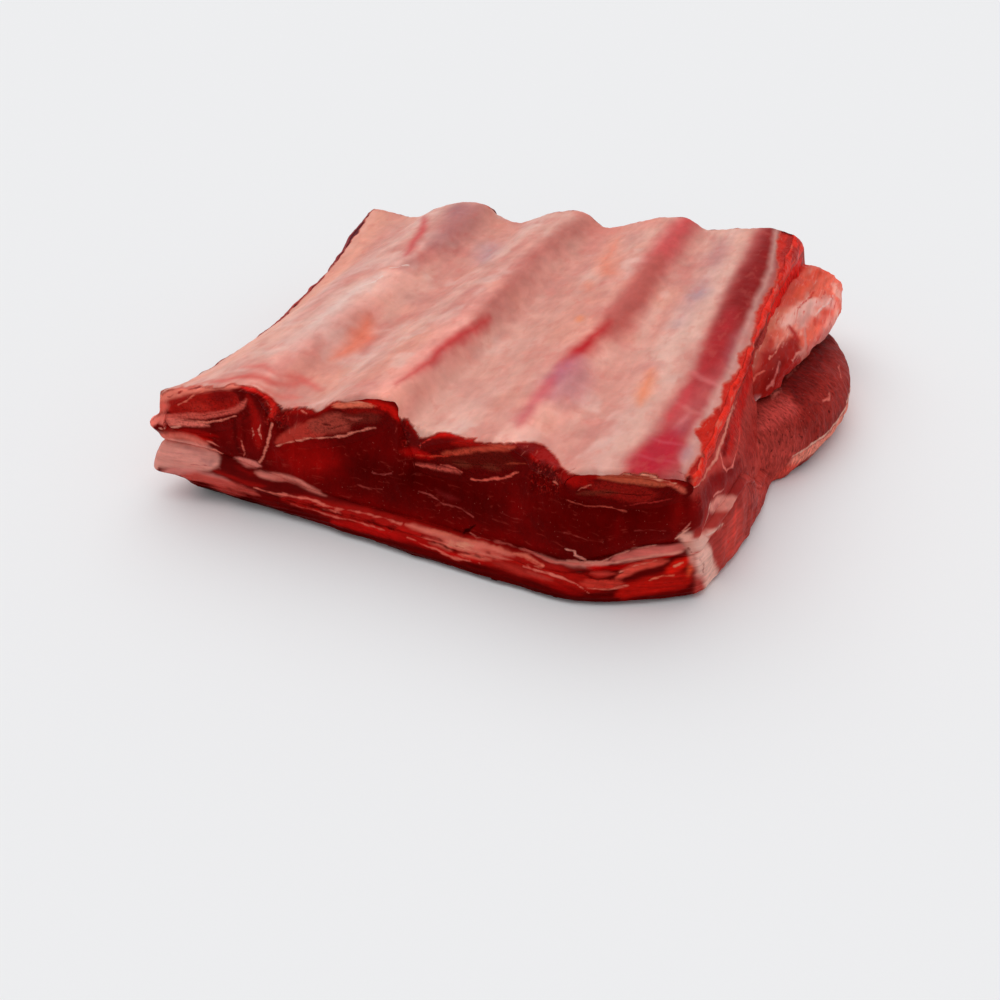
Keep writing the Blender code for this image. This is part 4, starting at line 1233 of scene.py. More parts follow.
def front_place(points):
    """(x, z) on the front's picture for points near the skin's edge, also for those behind it."""
    x, y, z = points.T
    edge = np.minimum(curve(FRONT_EDGE[SKIN], x), y)
    share = (edge - EYE[1]) / (y - EYE[1])
    return np.column_stack([EYE[0] + (x - EYE[0]) * share, EYE[2] + (z - EYE[2]) * share])


def back_place(points):
    """(x, z) on the front's picture for points of the back cut: a rib goes to the same rib."""
    x, _, z = points.T
    far = (curve(LEFT_EDGE[BONES], SLAB_DEPTH), *RIB_CENTRE_BACK, curve(RIGHT_EDGE[BONES], SLAB_DEPTH))
    near = (curve(LEFT_EDGE[BONES], 0.0), *RIB_CENTRE_FRONT, curve(RIGHT_EDGE[BONES], 0.0))
    lift = np.array(RIB_HEIGHT_FRONT) - np.array(RIB_HEIGHT_BACK)
    rise = np.interp(x, RIB_CENTRE_BACK, lift) * np.clip((z - RIBS_LIFT_FROM) / 20, 0, 1)
    return np.column_stack([np.interp(x, far, near), z + rise])


# %% The wall without relief
PLAIN_RIMS = [
    upright(TABLE, table), upright(SEAM_LOW, seam_floor), upright(SEAM_HIGH, seam_roof),
    upright(BONES, bone_bottom), upright(SKIN, skin_height),
]
LEAST_FACING = 0.5
GRAZING = 0.35
GRAZING_EASE = 0.25


def on_plain_wall(points):
    """A wall's points moved along their lines of sight on to the wall without relief."""
    z = points[:, 2].reshape(-1, ROUND)
    plain = PLAIN_RIMS[0][:, :2] + 0 * z[..., None]
    for low, high in zip(PLAIN_RIMS, PLAIN_RIMS[1:]):
        share = np.clip((z - low[:, 2]) / (high[:, 2] - low[:, 2]), 0, 1)
        plain = plain + share[..., None] * (high - low)[:, :2]
    stands_out = np.sum((points[:, :2].reshape(-1, ROUND, 2) - plain) * AWAY[:, :2], axis=-1)
    sight = points - EYE
    sight /= np.linalg.norm(sight, axis=1)[:, None]
    facing = -np.sum(sight.reshape(-1, ROUND, 3) * AWAY, axis=-1)
    way = stands_out / np.maximum(facing, LEAST_FACING) * ease((facing - GRAZING) / GRAZING_EASE)
    return points + sight * way.reshape(-1, 1)


# %% Pictures on the cuts
# The left side takes some of the sun, so its colours are lifted less than the front's.
LEFT_LIFT = 1.4
CUT_GROUND = (128, 30, 26)
STROKE_SHAKE = 0.8
LINE_SHAKE = 0.55
UNEVEN = 0.12
UNEVEN_SIZE = 14


def paint_cuts(points, front, right, back, left, plain):
    """Paint and fine lines of a wall's points. Each side's weight says where its picture is laid."""
    paint = dye(*CUT_GROUND, SIDE_LIFT) * np.ones((len(points), 1))
    depth = np.full(len(points), -LINE_REACH)
    line_paint = np.zeros((len(points), 3))
    views = (
        (left, points[:, 1:], SIDE_BASE, LEFT_STROKES, LEFT_LINES, LEFT_LIFT),
        (back, back_place(points), FRONT_BASE, FRONT_STROKES, FRONT_LINES, FRONT_LIFT),
        (front, plain[:, [0, 2]], FRONT_BASE, FRONT_STROKES, FRONT_LINES, FRONT_LIFT),
        (right, points[:, 1:], SIDE_BASE, SIDE_STROKES, SIDE_LINES, SIDE_LIFT),
    )
    for weight, place, base, strokes, lines, lift in views:
        seen = np.flatnonzero(weight > 0.01)
        spots = points[seen]
        share = weight[seen, None]
        layer = dye(*base, lift) * (1 + UNEVEN * rough(spots, UNEVEN_SIZE, 81)[:, None])
        lay(layer, shaken(spots, place[seen], STROKE_SHAKE), strokes, lift)
        paint[seen] += (layer - paint[seen]) * share
        inside, colours = fine_lines(shaken(spots, place[seen], LINE_SHAKE), lines, lift)
        depth[seen] += (inside - depth[seen]) * share[:, 0]
        line_paint[seen] += (colours - line_paint[seen]) * share
    return paint, (depth, line_paint)


# %% Values of a wall's points
HIDDEN_MEAT = dye(120, 26, 22)
DASHES_BEHIND = 36.0
TORN_FROM = 40.0


def around(rings):
    """The weights of the four sides for the points of a wall."""
    return [np.tile(side, rings) for side in FACES]


def wall_place(points):
    """Grain coordinates of a wall: the way round, the height, and how far out."""
    laps = len(points) // ROUND
    return np.column_stack([np.tile(AROUND, laps), points[:, 2], points[:, 0] * 0.1])


def with_hidden(points, values, filler=0):
    """Values of the wall's points, followed by the filler for the hidden points behind them."""
    hidden_shape = (len(points) - len(values), *values.shape[1:])
    return np.concatenate([values, np.broadcast_to(filler, hidden_shape)])


def dashed(points):
    """1 on the part of the right side that is cut across the grain."""
    share = FACES_RIGHT * ease((RIMS[SEAM_HIGH][:, 1] - DASHES_BEHIND) / 14)
    return np.tile(share, len(points) // ROUND)


def torn_share(points):
    """1 on the torn meat between the bones at the front and the back cut."""
    x, y, z = points.T
    cut = np.tile(np.clip(FACES_FRONT + FACES_BACK, 0, 1), len(points) // ROUND)
    return between_ribs(x, y) * ease((z - TORN_FROM) / 8) * cut


def paint_drum(piece, points, walls):
    """Paints a layer: the pictures on its wall, plain dark meat on its hidden faces."""
    cut = walls.reshape(-1, 3)
    paint, (depth, line_paint) = paint_cuts(cut, *around(len(walls)), on_plain_wall(cut))
    store_paint(
        piece,
        with_hidden(points, paint, HIDDEN_MEAT),
        with_hidden(points, wall_place(cut)),
        (with_hidden(points, depth, -LINE_REACH), with_hidden(points, line_paint)),
        dashes=with_hidden(points, dashed(cut)),
        torn=with_hidden(points, torn_share(cut)),
    )


def make_layer(name, low, high, rings, bow, groove_low, groove_high=0.0, lump=0.0):
    """A painted layer between two faces, each given as a level of the outlines and a height function."""
    walls = wall(upright(*low), upright(*high), rings, bow, groove_low, groove_high, lump)
    piece, points = drum(name, walls, *low, *high)
    paint_drum(piece, points, walls)
    return piece


# %% [markdown]
# ## The lower muscle
#
# The muscle that lies on the table is thin and parts into flakes with films of fat between them.

# %% Lower muscle
LOWER_RINGS = 30

lower_muscle = make_layer(
    "lower_muscle_flaky", (TABLE, table), (SEAM_LOW, seam_floor), LOWER_RINGS,
    bow=1.0, groove_low=2.0, groove_high=0.5,
)


def lower_muscle_finish():
    finish = Finish("lower_muscle_finish", 0.03, 0.05, (1, 0.4, 0.35))
    finish.shade(finish.grain((14, 1.2, 8), 4), 0.78, 1.2)
    finish.shade(finish.grain((3, 2, 3), 3, 7.0), 0.88, 1.12)
    finish.side_dashes()
    finish.fine_lines()
    finish.bump(finish.grain((10, 0.8, 6), 5, 2.0), 0.4)
    return finish.done((4, 2, 4), 0.34, 0.6)


dress(lower_muscle, lower_muscle_finish(), "lower_muscle")

# %% [markdown]
# ## The fat seam
#
# Pale fat runs between the two muscles. At the front left corner it swells to a lump that hangs over the
# table, and toward the right it thins to a wavy line and widens again.

# %% Fat seam
SEAM_RINGS = 24
LUMP_SWELL = 4.0

fat_seam = make_layer(
    "fat_seam_wavy", (SEAM_LOW, seam_floor), (SEAM_HIGH, seam_roof), SEAM_RINGS,
    bow=1.5, groove_low=0.5, groove_high=0.5, lump=LUMP_SWELL,
)


def fat_seam_finish():
    finish = Finish("fat_seam_finish", 0.05, 0.1, (1, 0.6, 0.55))
    finish.shade(finish.grain((16, 1.6, 8), 4), 0.86, 1.14)
    finish.shade(finish.grain((4, 3, 4), 3, 4.0), 0.92, 1.08)
    finish.side_dashes()
    finish.fine_lines()
    finish.bump(finish.grain((9, 1.1, 6), 4, 2.0), 0.3)
    return finish.done((4, 2, 4), 0.36, 0.58)


dress(fat_seam, fat_seam_finish(), "fat_seam")

# %% [markdown]
# ## The main muscle
#
# The thickest layer is one dark, close-grained muscle. Its cut front is smooth and nearly black-red, with a
# few thin pale lines of marbling. Its top face follows the undersides of the bones.

# %% Main muscle
MAIN_RINGS = 66

main_muscle = make_layer(
    "main_muscle_cut", (SEAM_HIGH, seam_roof), (BONES, bone_bottom), MAIN_RINGS, bow=2.0, groove_low=0.5
)


def main_muscle_finish():
    finish = Finish("main_muscle_finish", 0.02, 0.03, (1, 0.3, 0.25))
    finish.shade(finish.grain((7, 9, 7), 3), 0.9, 1.12)
    finish.shade(finish.grain((2.2, 3.4, 3), 4, 9.0, 0.6), 0.9, 1.12)
    sinew = finish.ramp(finish.grain((5, 1.6, 3), 3, 17.0, 0.8), 0.6, 0.7)
    finish.tone(sinew, 0.16, dye(170, 60, 50, 1.4))
    finish.side_dashes()
    finish.torn_fibres()
    finish.fine_lines()
    # Pale specks over the meat, partly painted wet glints.
    glints_and_specks = finish.ramp(finish.grain((0.9, 1.2, 1), 2, 3.0), 0.7, 0.76)
    finish.tone(glints_and_specks, 0.35, dye(206, 110, 96))
    finish.bump(finish.grain((1.3, 4, 4), 4, 2.0), 0.3)
    return finish.done((4, 4, 4), 0.32, 0.55)


dress(main_muscle, main_muscle_finish(), "main_muscle")

# %% [markdown]
# ## The rib bones
#
# A rib is a flat bone with a thin hard shell round dark, spongy marrow. Both ends are sawn square. Each
# bone is a tube through the slab, and its ends are closed by rings that shrink toward the middle. The
# shell stands a little out, the marrow is a little sunken, and the saw leaves the same waves as in the
# meat around.

# %% Rib bones
BONE_HALF_ROUND = 110
BONE_SECTIONS = 16
END_RINGS = 34
SHELL_WIDTH = 1.9
END_STANDS = 0.12
MARROW_SINKS = 0.2
MARROW_RELIEF = 0.25
MARROW_GRAIN = 1.8
MIDDLE_RING = 0.97
BONE_OVERLAP = 0.3
END_PROUD = 0.06


def bone_loop(rib, y, overlap):
    """One section of a bone at depth y, counterclockwise seen from the front: underside, then top."""
    across = -np.cos(np.linspace(0, np.pi, BONE_HALF_ROUND))
    x = rib_centres(y)[rib] + across * bone_half_widths(y)[rib]
    z = np.concatenate([bone_bottom(x, y), bone_top(x, y)[::-1][1:-1]])
    across, x = (np.concatenate([values, values[::-1][1:-1]]) for values in (across, x))
    return x + overlap * across, z + overlap * np.clip(z - bone_axis(x, y), -1, 1)


def bone_sections(rib):
    """Sections of a bone from its front to its back end: fuller at the ends, finer inside the meat."""
    sections = []
    for share in np.linspace(0, 1, BONE_SECTIONS):
        x, z = bone_loop(rib, SLAB_DEPTH * share, BONE_OVERLAP if share in (0, 1) else -BONE_OVERLAP)
        y = mix(curve(FRONT_EDGE[BONES], x), curve(BACK_EDGE, x) + BACK_SWELL[BONES], share)
        sections.append(np.stack([x, y, z], axis=1))
    return sections


def end_rings(section, facing):
    """Rings that close an end, each of them a share of the way from the bone's edge to its middle."""
    middle = section.mean(axis=0)
    end_depth = 0 if facing < 0 else SLAB_DEPTH
    above_axis = section[:, 2] - bone_axis(section[:, 0], end_depth)
    order = np.argsort(section[:, 0])
    rings, depths = [], []
    for share in np.linspace(0, MIDDLE_RING, END_RINGS)[1:]:
        inward = share * BONE_CROWN
        x = middle[0] + (section[:, 0] - middle[0]) * mix(1, 1 - share, 0.55)
        z = bone_axis(x, end_depth) + above_axis * (1 - share)
        ring = np.stack([x, np.interp(x, section[order, 0], section[order, 1]), z], axis=1)
        shell = np.exp(-(((inward - SHELL_WIDTH / 2) / (SHELL_WIDTH * 0.7)) ** 2))
        out = END_STANDS * shell - MARROW_SINKS * ease((inward - SHELL_WIDTH) / 1.5)
        out = out + MARROW_RELIEF * rough(ring, MARROW_GRAIN, 90) * ease(inward - SHELL_WIDTH)
        ring[:, 1] += facing * (out + cut_relief(ring) + END_PROUD)
        rings.append(ring)
        depths.append(0 * x + inward)
    return rings, depths


def make_bone(rib):
    """One painted bone, from its front end's middle to its back end's middle."""
    sections = bone_sections(rib)
    count = len(sections[0])
    front_rings, front_depth = end_rings(sections[0], -1)
    back_rings, back_depth = end_rings(sections[-1], 1)
    sections[0][:, 1] -= cut_relief(sections[0]) + END_PROUD
    sections[-1][:, 1] += cut_relief(sections[-1]) + END_PROUD
    stack = front_rings[::-1] + sections + back_rings
    depth = np.concatenate(front_depth[::-1] + [np.zeros(count)] * len(sections) + back_depth)
    points = np.concatenate(stack + [stack[0].mean(axis=0)[None], stack[-1].mean(axis=0)[None]])
    piece = new_piece(f"rib_bone_{rib + 1}_sawn", points, tube_faces(len(stack), count))
    none = np.zeros(len(points))
    near = (points[:, 1] < SLAB_DEPTH / 2).astype(float)
    paint, lines = paint_cuts(points, near, none, 1 - near, none, points)
    store_paint(piece, paint, points[:, [0, 2, 1]], lines, depth=np.append(depth, [depth.max()] * 2))
    return piece


def bone_finish():
    finish = Finish("bone_finish", 0.03, 0.04, (1, 0.4, 0.3))
    depth = finish.attribute("depth").outputs["Fac"]
    inside = finish.ramp(depth, SHELL_WIDTH * 0.9, SHELL_WIDTH * 1.5)
    cells = finish.add("TexVoronoi", {"Vector": finish.place, "Scale": 1.0, "Randomness": 1.0})
    pores = finish.ramp(cells.outputs["Distance"], 0.1, 0.5)
    finish.shade(finish.grain((1.8, 1.2, 2), 4), 0.84, 1.2)
    finish.fine_lines()
    dots = finish.times(finish.ramp(pores, 1.0, 0.0), inside)
    finish.tone(dots, 0.3, dye(80, 8, 5))
    finish.bump(finish.times(pores, inside), 0.25)
    finish.bump(finish.grain((1.2, 1.2, 1.2), 4, 2.0), 0.2)
    return finish.done((3, 3, 3), 0.4, 0.62)


bone_material = bone_finish()
for rib in range(4):
    dress(make_bone(rib), bone_material, f"rib_bone_{rib + 1}")

# %% [markdown]
# ## The skin and the meat over the bones
#
# A thin membrane covers the bone side. It is drawn tight over each rib and sags between them, so the ribs
# show as soft ridges. Along their right flanks blood shows through the membrane, darkened by painted shade,
# and their left flanks carry a painted highlight. The knife leaves its edge ragged: here it ends short of
# the cut, there it hangs over it, with tufts of red fibre under it.
# The grid of the skin is fine, and its edge is the top ring of the wall around it.

# %% Strokes on the skin: (x, y, width) on the plan
SKIN_STROKES = (
    ((235, 160, 137), 0.75, 8, (
        (-104, 215, 12), (-100, 150, 12), (-99, 90, 12), (-104, 40, 14), (-110, 12, 8),
    )),
    ((206, 140, 130), 0.5, 8, ((-89, 205, 12), (-86, 150, 10), (-85, 100, 8), (-86, 60, 6))),
    # A pale band along the first rib's left flank: a painted highlight on the side that faces the light.
    ((222, 180, 168), 0.75, 8, ((-66, 118, 6), (-72, 95, 13), (-74, 60, 15), (-80, 35, 9))),
    ((230, 202, 192), 0.5, 4, ((-66, 120, 3), (-71, 100, 4), (-73, 78, 4), (-75, 60, 3))),
    ((200, 64, 66), 0.88, 3, ((-78, 208, 2), (-71, 192, 4), (-66, 172, 5), (-63, 150, 4), (-62, 142, 2))),
    ((176, 108, 106), 0.8, 8, ((-57, 214, 22), (-54, 195, 19), (-53, 175, 13), (-55, 155, 7))),
    ((150, 92, 100), 0.4, 6, ((-60, 212, 8), (-56, 196, 8))),
    ((174, 84, 80), 0.65, 4, ((-53, 162, 4), (-56, 145, 5), (-59, 130, 2))),
    ((178, 148, 154), 0.55, 7, ((-33, 188, 10), (-29, 172, 12), (-26, 158, 8))),
    ((192, 114, 112), 0.5, 4, ((-18, 120, 4), (-20, 110, 4))),
    ((229, 112, 80), 0.8, 4.5, ((-58, 86, 3), (-55, 70, 9), (-56, 58, 7), (-60, 46, 3))),
    ((230, 196, 184), 0.4, 4, ((-40, 90, 5), (-44, 60, 6), (-46, 30, 5))),
    ((208, 84, 74), 0.8, 2.4, ((-96, 6, 2), (-81, 10.5, 4.5), (-70, 13, 4))),
    ((216, 100, 90), 0.75, 2.4, ((-72, 11, 2), (-64, 20, 4), (-61, 28, 2))),
    ((216, 100, 90), 0.75, 2.6, ((-70, 20, 3), (-64, 25, 4.5), (-58, 24, 4), (-52, 20, 2))),
    ((218, 106, 96), 0.65, 2.2, ((-90, 19, 2), (-79, 20.5, 4), (-70, 18, 2))),
    ((214, 106, 94), 0.6, 2.2, ((-108, 6, 2), (-97, 8, 3.4), (-86, 5, 2))),
    ((218, 104, 92), 0.6, 2.2, ((-78, 6, 2), (-68, 7, 4), (-58, 12, 3))),
    # A stripe along the second rib's right flank: blood seen through the membrane, darkened by painted
    # shade.
    ((178, 90, 80), 0.8, 5, (
        (9, 216, 5), (3, 190, 8), (0, 160, 9), (-1, 135, 9), (-3, 112, 7), (-4, 92, 5), (-5, 80, 3),
    )),
    # Painted shade on the second rib's right flank.
    ((204, 130, 120), 0.35, 8, ((4, 160, 8), (1, 120, 8), (0, 90, 6))),
    ((206, 134, 118), 0.55, 12, ((26, 150, 10), (22, 110, 18), (16, 70, 18), (12, 40, 10))),
    ((202, 104, 98), 0.5, 5, ((-6, 72, 8), (-10, 45, 7), (-16, 20, 4))),
    ((200, 40, 46), 0.85, 2.2, (
        (-2, 94, 2), (-4, 78, 3.6), (-7, 60, 4), (-9.4, 46, 3.4), (-12, 30, 2), (-15, 14, 1),
    )),
    ((226, 124, 96), 0.85, 7, ((30, 208, 4), (31, 185, 8), (33, 170, 8), (36, 160, 7), (41, 158, 3))),
    ((228, 124, 92), 0.55, 4, ((29, 152, 4), (33, 140, 5))),
    ((222, 132, 116), 0.6, 8, ((8, 224, 20), (34, 226, 24), (52, 222, 10))),
    ((206, 112, 102), 0.5, 8, ((14, 224, 14), (16, 205, 12), (20, 190, 8))),
    ((232, 136, 94), 0.75, 2, ((37, 110, 3), (38, 104, 4.5))),
    # A stripe along the third rib's right flank: blood seen through the membrane, darkened by painted
    # shade.
    ((206, 72, 74), 0.9, 5, ((64, 242, 8), (61, 220, 12), (59, 200, 12), (57.5, 182, 11), (56.5, 164, 6))),
    ((188, 88, 80), 0.95, 5, (
        (58, 186, 7), (56.5, 162, 13), (55.5, 138, 15), (53, 114, 15), (50.5, 92, 9),
    )),
    ((188, 20, 28), 1.0, 4, (
        (51, 108, 1), (49.4, 96, 4), (47.4, 85, 7), (45.4, 75, 9), (44, 65, 8), (43, 55, 5), (42, 44, 2),
    )),
    ((194, 120, 124), 0.8, 6, ((48, 70, 8), (48, 56, 16), (47, 44, 17), (44, 32, 8))),
    ((184, 104, 122), 0.6, 4, ((44, 64, 5), (43, 53, 7), (42, 44, 5))),
    ((202, 84, 92), 0.75, 3, ((41.5, 50, 4), (40.4, 36, 6), (39, 22, 5), (38, 8, 3))),
    ((182, 122, 120), 0.7, 7, ((82, 222, 6), (83, 202, 11), (85, 184, 9))),
    ((184, 130, 130), 0.6, 7, ((84, 176, 6), (82, 152, 13), (80, 130, 10))),
    ((168, 136, 146), 0.65, 6, ((85, 158, 8), (83, 148, 8))),
    ((178, 138, 142), 0.6, 7, ((80, 125, 7), (81, 115, 6))),
    ((224, 176, 160), 0.6, 6, (
        (95, 225, 5), (93, 190, 6), (91.5, 150, 6), (88.5, 110, 7), (85, 70, 7), (83, 30, 8), (82, 0, 8),
    )),
    ((230, 124, 80), 0.8, 4, ((78, 74, 2), (79, 62, 5), (80, 50, 6), (81, 40, 2))),
    # A dark red stripe along the fourth rib's right flank: blood seen through the membrane, darkened by
    # painted shade.
    ((178, 70, 68), 0.85, 4.5, (
        (110, 262, 19), (107.5, 225, 20), (105.5, 170, 20), (104, 120, 17), (103.6, 84, 12), (103, 60, 5),
    )),
    ((182, 68, 70), 0.93, 4.5, (
        (105, 104, 6), (103.4, 84, 13), (102.4, 64, 15), (101, 44, 17), (99.5, 20, 18), (98, -12, 18),
    )),
    ((158, 40, 40), 0.7, 5, (
        (110, 262, 14), (107.5, 200, 15), (105.5, 160, 15), (104, 124, 12), (103, 98, 7), (102, 76, 3),
    )),
    ((138, 3, 4), 0.98, 5, (
        (111, 262, 10), (108, 205, 14), (105.5, 168, 15), (103.6, 138, 12), (102, 112, 7), (101, 88, 2),
    )),
    ((172, 30, 36), 0.8, 4, (
        (102.6, 140, 4), (101.4, 120, 9), (100.5, 100, 11), (100, 84, 9), (99.6, 68, 5), (99, 52, 2),
    )),
    ((196, 66, 70), 0.5, 3.5, ((99, 62, 5), (97, 44, 7), (95, 26, 7))),
    ((214, 112, 110), 0.5, 1.8, ((95, 74, 2), (101, 69, 4), (109, 67, 3))),
    ((218, 124, 120), 0.45, 1.6, ((94, 46, 2), (101, 41, 3), (108, 40, 2))),
    ((206, 60, 66), 0.6, 1.6, ((98, 62, 2), (96, 44, 3), (94, 30, 2))),
    ((222, 128, 126), 0.5, 1.6, ((101, 40, 2), (99, 26, 3), (97, 14, 2))),
    ((160, 74, 80), 0.6, 3, ((110, 122, 5), (109, 104, 6), (108, 86, 5))),
    ((182, 16, 42), 0.9, 4, ((99, 26, 4), (97.5, 15, 11), (95.5, 6, 16), (93, -3, 15), (91, -14, 8))),
    ((206, 84, 96), 0.45, 1.2, ((88, 16, 1), (96, 14.6, 1.6), (105, 15.6, 1))),
    ((206, 80, 92), 0.4, 1.2, ((86, 2, 1), (95, 1, 1.4), (104, 2.4, 1))),
    ((160, 66, 78), 0.5, 4, ((102, 32, 4), (100, 22, 6))),
    ((218, 166, 154), 0.75, 2.5, (
        (108, 242, 2), (110, 222, 2.4), (112, 190, 2), (111, 130, 2), (110, 90, 2.5), (108.5, 50, 3),
        (107, 20, 4), (106.5, 0, 4),
    )),
    ((180, 128, 136), 0.6, 3, ((106, 16, 3), (105, 6, 4))),
)
SKIN_LINES = (
    ((232, 196, 184), ((-65.5, 126.5, 0.3), (-61, 130, 0.8), (-57.5, 134.5, 0.4))),
    ((238, 208, 198), ((-70, 104, 0.4), (-66, 110, 0.9), (-64, 118, 0.4))),
)

# %% Where the membrane ends and bare meat begins
SKIN_LOW_FRONT = (
    (-124, 47), (-120, 49), (-115, 52.5), (-108, 55), (-100, 56.5), (-90, 58.5), (-85, 60), (-74, 61.5),
    (-70, 59), (-66, 57), (-62, 51.5), (-58, 53), (-55, 54.5), (-46, 54.5), (-43, 56), (-40, 58), (-37, 60),
    (-33, 60.5), (-24, 62.5), (-14, 62.5), (-11, 60.5), (-10, 58), (-6, 57.5), (-3, 54), (-1, 51),
    (2, 51.5), (7, 54.5), (10, 56), (22, 57), (30, 57.5), (35, 59.5), (40, 61), (45, 62.5), (50, 64),
    (54, 64.5),
    (57, 62), (60, 60), (62, 57.5), (65, 55.5), (70, 55.5), (74, 57), (78, 58), (87, 60.5), (95, 60.5),
    (98, 59.5), (102, 56.5), (105, 55.5), (108, 54), (112, 52),
)
BARE_RIGHT = (
    (-2, 3.3), (3, 3.3), (10, 2.3), (22, 2.5), (27, 7.4), (33, 6.3), (47, 3.1), (60, 2.7), (71, 4), (79, 2),
    (87, 1.3), (99, 3), (113, 0.9), (144, 3.6), (162, 3.1), (177, 1), (192, 2.6), (206, 5), (220, 7.4),
    (236, 8),
)
BARE_BACK = 0.2
BARE_LEFT = ((0, 0.1), (60, 0.1), (120, 0.8), (150, 0.8), (200, 1.0), (212, 1.2))
RED_TUFTS = ((-79, -66), (-58, -49), (-5, 0), (50, 63))


def bareness(points, right, back, left):
    """0 under the membrane and 1 on bare meat, with a ragged edge between."""
    x, y, z = points.T
    wander = rough(points, 5, 74) * 0.8 + rough(points, 1.8, 75) * 0.25
    at = front_place(points)
    low = np.interp(at[:, 0], *np.array(SKIN_LOW_FRONT).T)
    in_front = (y < curve(FRONT_EDGE[SKIN], x) + 12) & (at[:, 0] < 111)
    bare = np.where(in_front, low - at[:, 1], -9)
    drop = np.clip(skin_height(x, y) - z, 0, None)
    inward = curve(RIGHT_EDGE[SKIN], y) - x
    bare = np.maximum(bare, np.where(x > 90, curve(BARE_RIGHT, y) - inward, -9) * 0.7)
    bare = np.maximum(bare, np.where(y > 180, BARE_BACK - (curve(BACK_EDGE, x) - y), -9))
    bare = np.maximum(bare, np.where(x < -90, curve(BARE_LEFT, y) - (x - curve(LEFT_EDGE[SKIN], y)), -9))
    sides = np.maximum(np.maximum(right, back), left)
    bare = np.where(sides > 0.05, np.maximum(bare, drop * 2 - 1.2), bare)
    return ease((bare + wander) / 0.9 + 0.5)


# %% Form of the skin's edge
RIB_RINGS = 15
RIB_BOW = 0.8
SKIN_EDGE_ROUND = 1.0
PULL_IN = 5.0
MEMBRANE = 0.4
TUFT_HEIGHT = 1.3
EDGE_SHREDS = 0.8
EDGE_WAVE = 0.8


def skin_relief(x, y):
    """Fine wrinkles and dimples of the membrane, in mm."""
    spots = np.stack([x, y, 0 * x], axis=-1)
    relief = 0.35 * rough(spots, (16, 40, 9), 51, 3) + 0.08 * rough(spots, (5, 13, 9), 52, 3)
    return relief + 0.10 * rough(spots, (11, 2.2, 9), 53, 2)


def tufts(x):
    """1 where fibres of red meat stand up at the front edge."""
    return sum(ease((x - low) / 2) * ease((high - x) / 2) for low, high in RED_TUFTS)


def skin_top(x, y):
    """Height of the skin, with a small wave and tufts near the front edge."""
    spots = np.stack([x, y, 0 * x], axis=-1)
    inside = np.maximum(y - curve(FRONT_EDGE[SKIN], x), 0)
    wave = EDGE_WAVE * rough(spots, (6, 14, 9), 54, 3) * np.exp(-inside / 5)
    fibre = (0.5 + 0.7 * rough(spots, (1.6, 5, 9), 55, 2)) * np.exp(-((inside / 3.5) ** 2))
    return skin_height(x, y) + skin_relief(x, y) + wave + TUFT_HEIGHT * tufts(x) * fibre


def skin_grid(ring):
    """The skin's grid of points, its outline drawn to the wall's top ring and easing off inward."""
    flat = plan(SKIN)
    shift = ring[:, :2] - rim(flat)
    front, right = shift[:ACROSS], shift[ACROSS - 1 : ACROSS + ALONG - 1]
    back = shift[ACROSS + ALONG - 2 : 2 * ACROSS + ALONG - 2][::-1]
    left = np.concatenate([shift[2 * ACROSS + ALONG - 3 :], shift[:1]])[::-1]
    row, col = np.arange(ALONG)[:, None, None], np.arange(ACROSS)[None, :, None]
    near = np.stack([
        np.exp(-row / PULL_IN) + 0 * col,
        np.exp(-(ACROSS - 1 - col) / PULL_IN) + 0 * row,
        np.exp(-(ALONG - 1 - row) / PULL_IN) + 0 * col,
        np.exp(-col / PULL_IN) + 0 * row,
    ])
    moves = [front[None], right[:, None], back[None], left[:, None]]
    total = sum(weight**2 * move for weight, move in zip(near, moves))
    flat = flat + total / np.maximum(near.sum(axis=0), 1e-6)
    return np.dstack([flat, skin_top(flat[..., 0], flat[..., 1])])


def rib_wall():
    """Wall from the bones up to the skin, with a ragged, rounded upper edge."""
    low = upright(BONES, bone_top)
    high = upright(SKIN, skin_top)
    walls = wall(low, high, RIB_RINGS, RIB_BOW)
    below = np.clip(high[:, 2] - walls[..., 2], 0, 9)
    shreds = EDGE_SHREDS * (rough(walls, (4, 11, 5), 56, 3) + 0.2) * np.exp(-((below / 2.5) ** 2))
    below = np.minimum(below, SKIN_EDGE_ROUND)
    inset = SKIN_EDGE_ROUND - np.sqrt(SKIN_EDGE_ROUND**2 - (SKIN_EDGE_ROUND - below) ** 2)
    return walls + AWAY * (shreds - inset)[..., None]


# %% Skin and rib meat
walls = rib_wall()
grid = skin_grid(walls[-1])
inner = grid[1:-1, 1:-1].reshape(-1, 3)
wall_points = walls.reshape(-1, 3)
on_wall = len(wall_points)
on_top = on_wall + len(inner)
hidden, hidden_faces = closing_face(BONES, bone_top, on_top, 0, up=False)
number = np.zeros((ALONG, ACROSS), int)
number[1:-1, 1:-1] = np.arange(len(inner)).reshape(ALONG - 2, ACROSS - 2) + on_wall
top = np.arange(ROUND) + (RIB_RINGS - 1) * ROUND
number[0] = top[:ACROSS]
number[1:, -1] = top[ACROSS : ACROSS + ALONG - 1]
number[-1, -2::-1] = top[ACROSS + ALONG - 1 : 2 * ACROSS + ALONG - 2]
number[-2:0:-1, 0] = top[2 * ACROSS + ALONG - 2 :]
skin_faces = cell_faces(number[:-1, :-1], number[:-1, 1:], number[1:, 1:], number[1:, :-1])

sides = around(RIB_RINGS)
right, back, left = (np.append(side, np.zeros(len(inner))) for side in sides[1:])
visible = np.concatenate([wall_points, inner])
bare = bareness(visible, right, back, left)
step = MEMBRANE * bare[on_wall:] * ease((visible[on_wall:, 2] - 40) / 4)
inner[:, 2] -= step
points = np.concatenate([wall_points, inner, hidden])
faces = np.concatenate([wall_faces(RIB_RINGS), skin_faces, hidden_faces])
rib_meat = new_piece("rib_meat_skinned", points, faces)
print("share of the rib meat that is bare:", round(float(bare.mean()), 3))

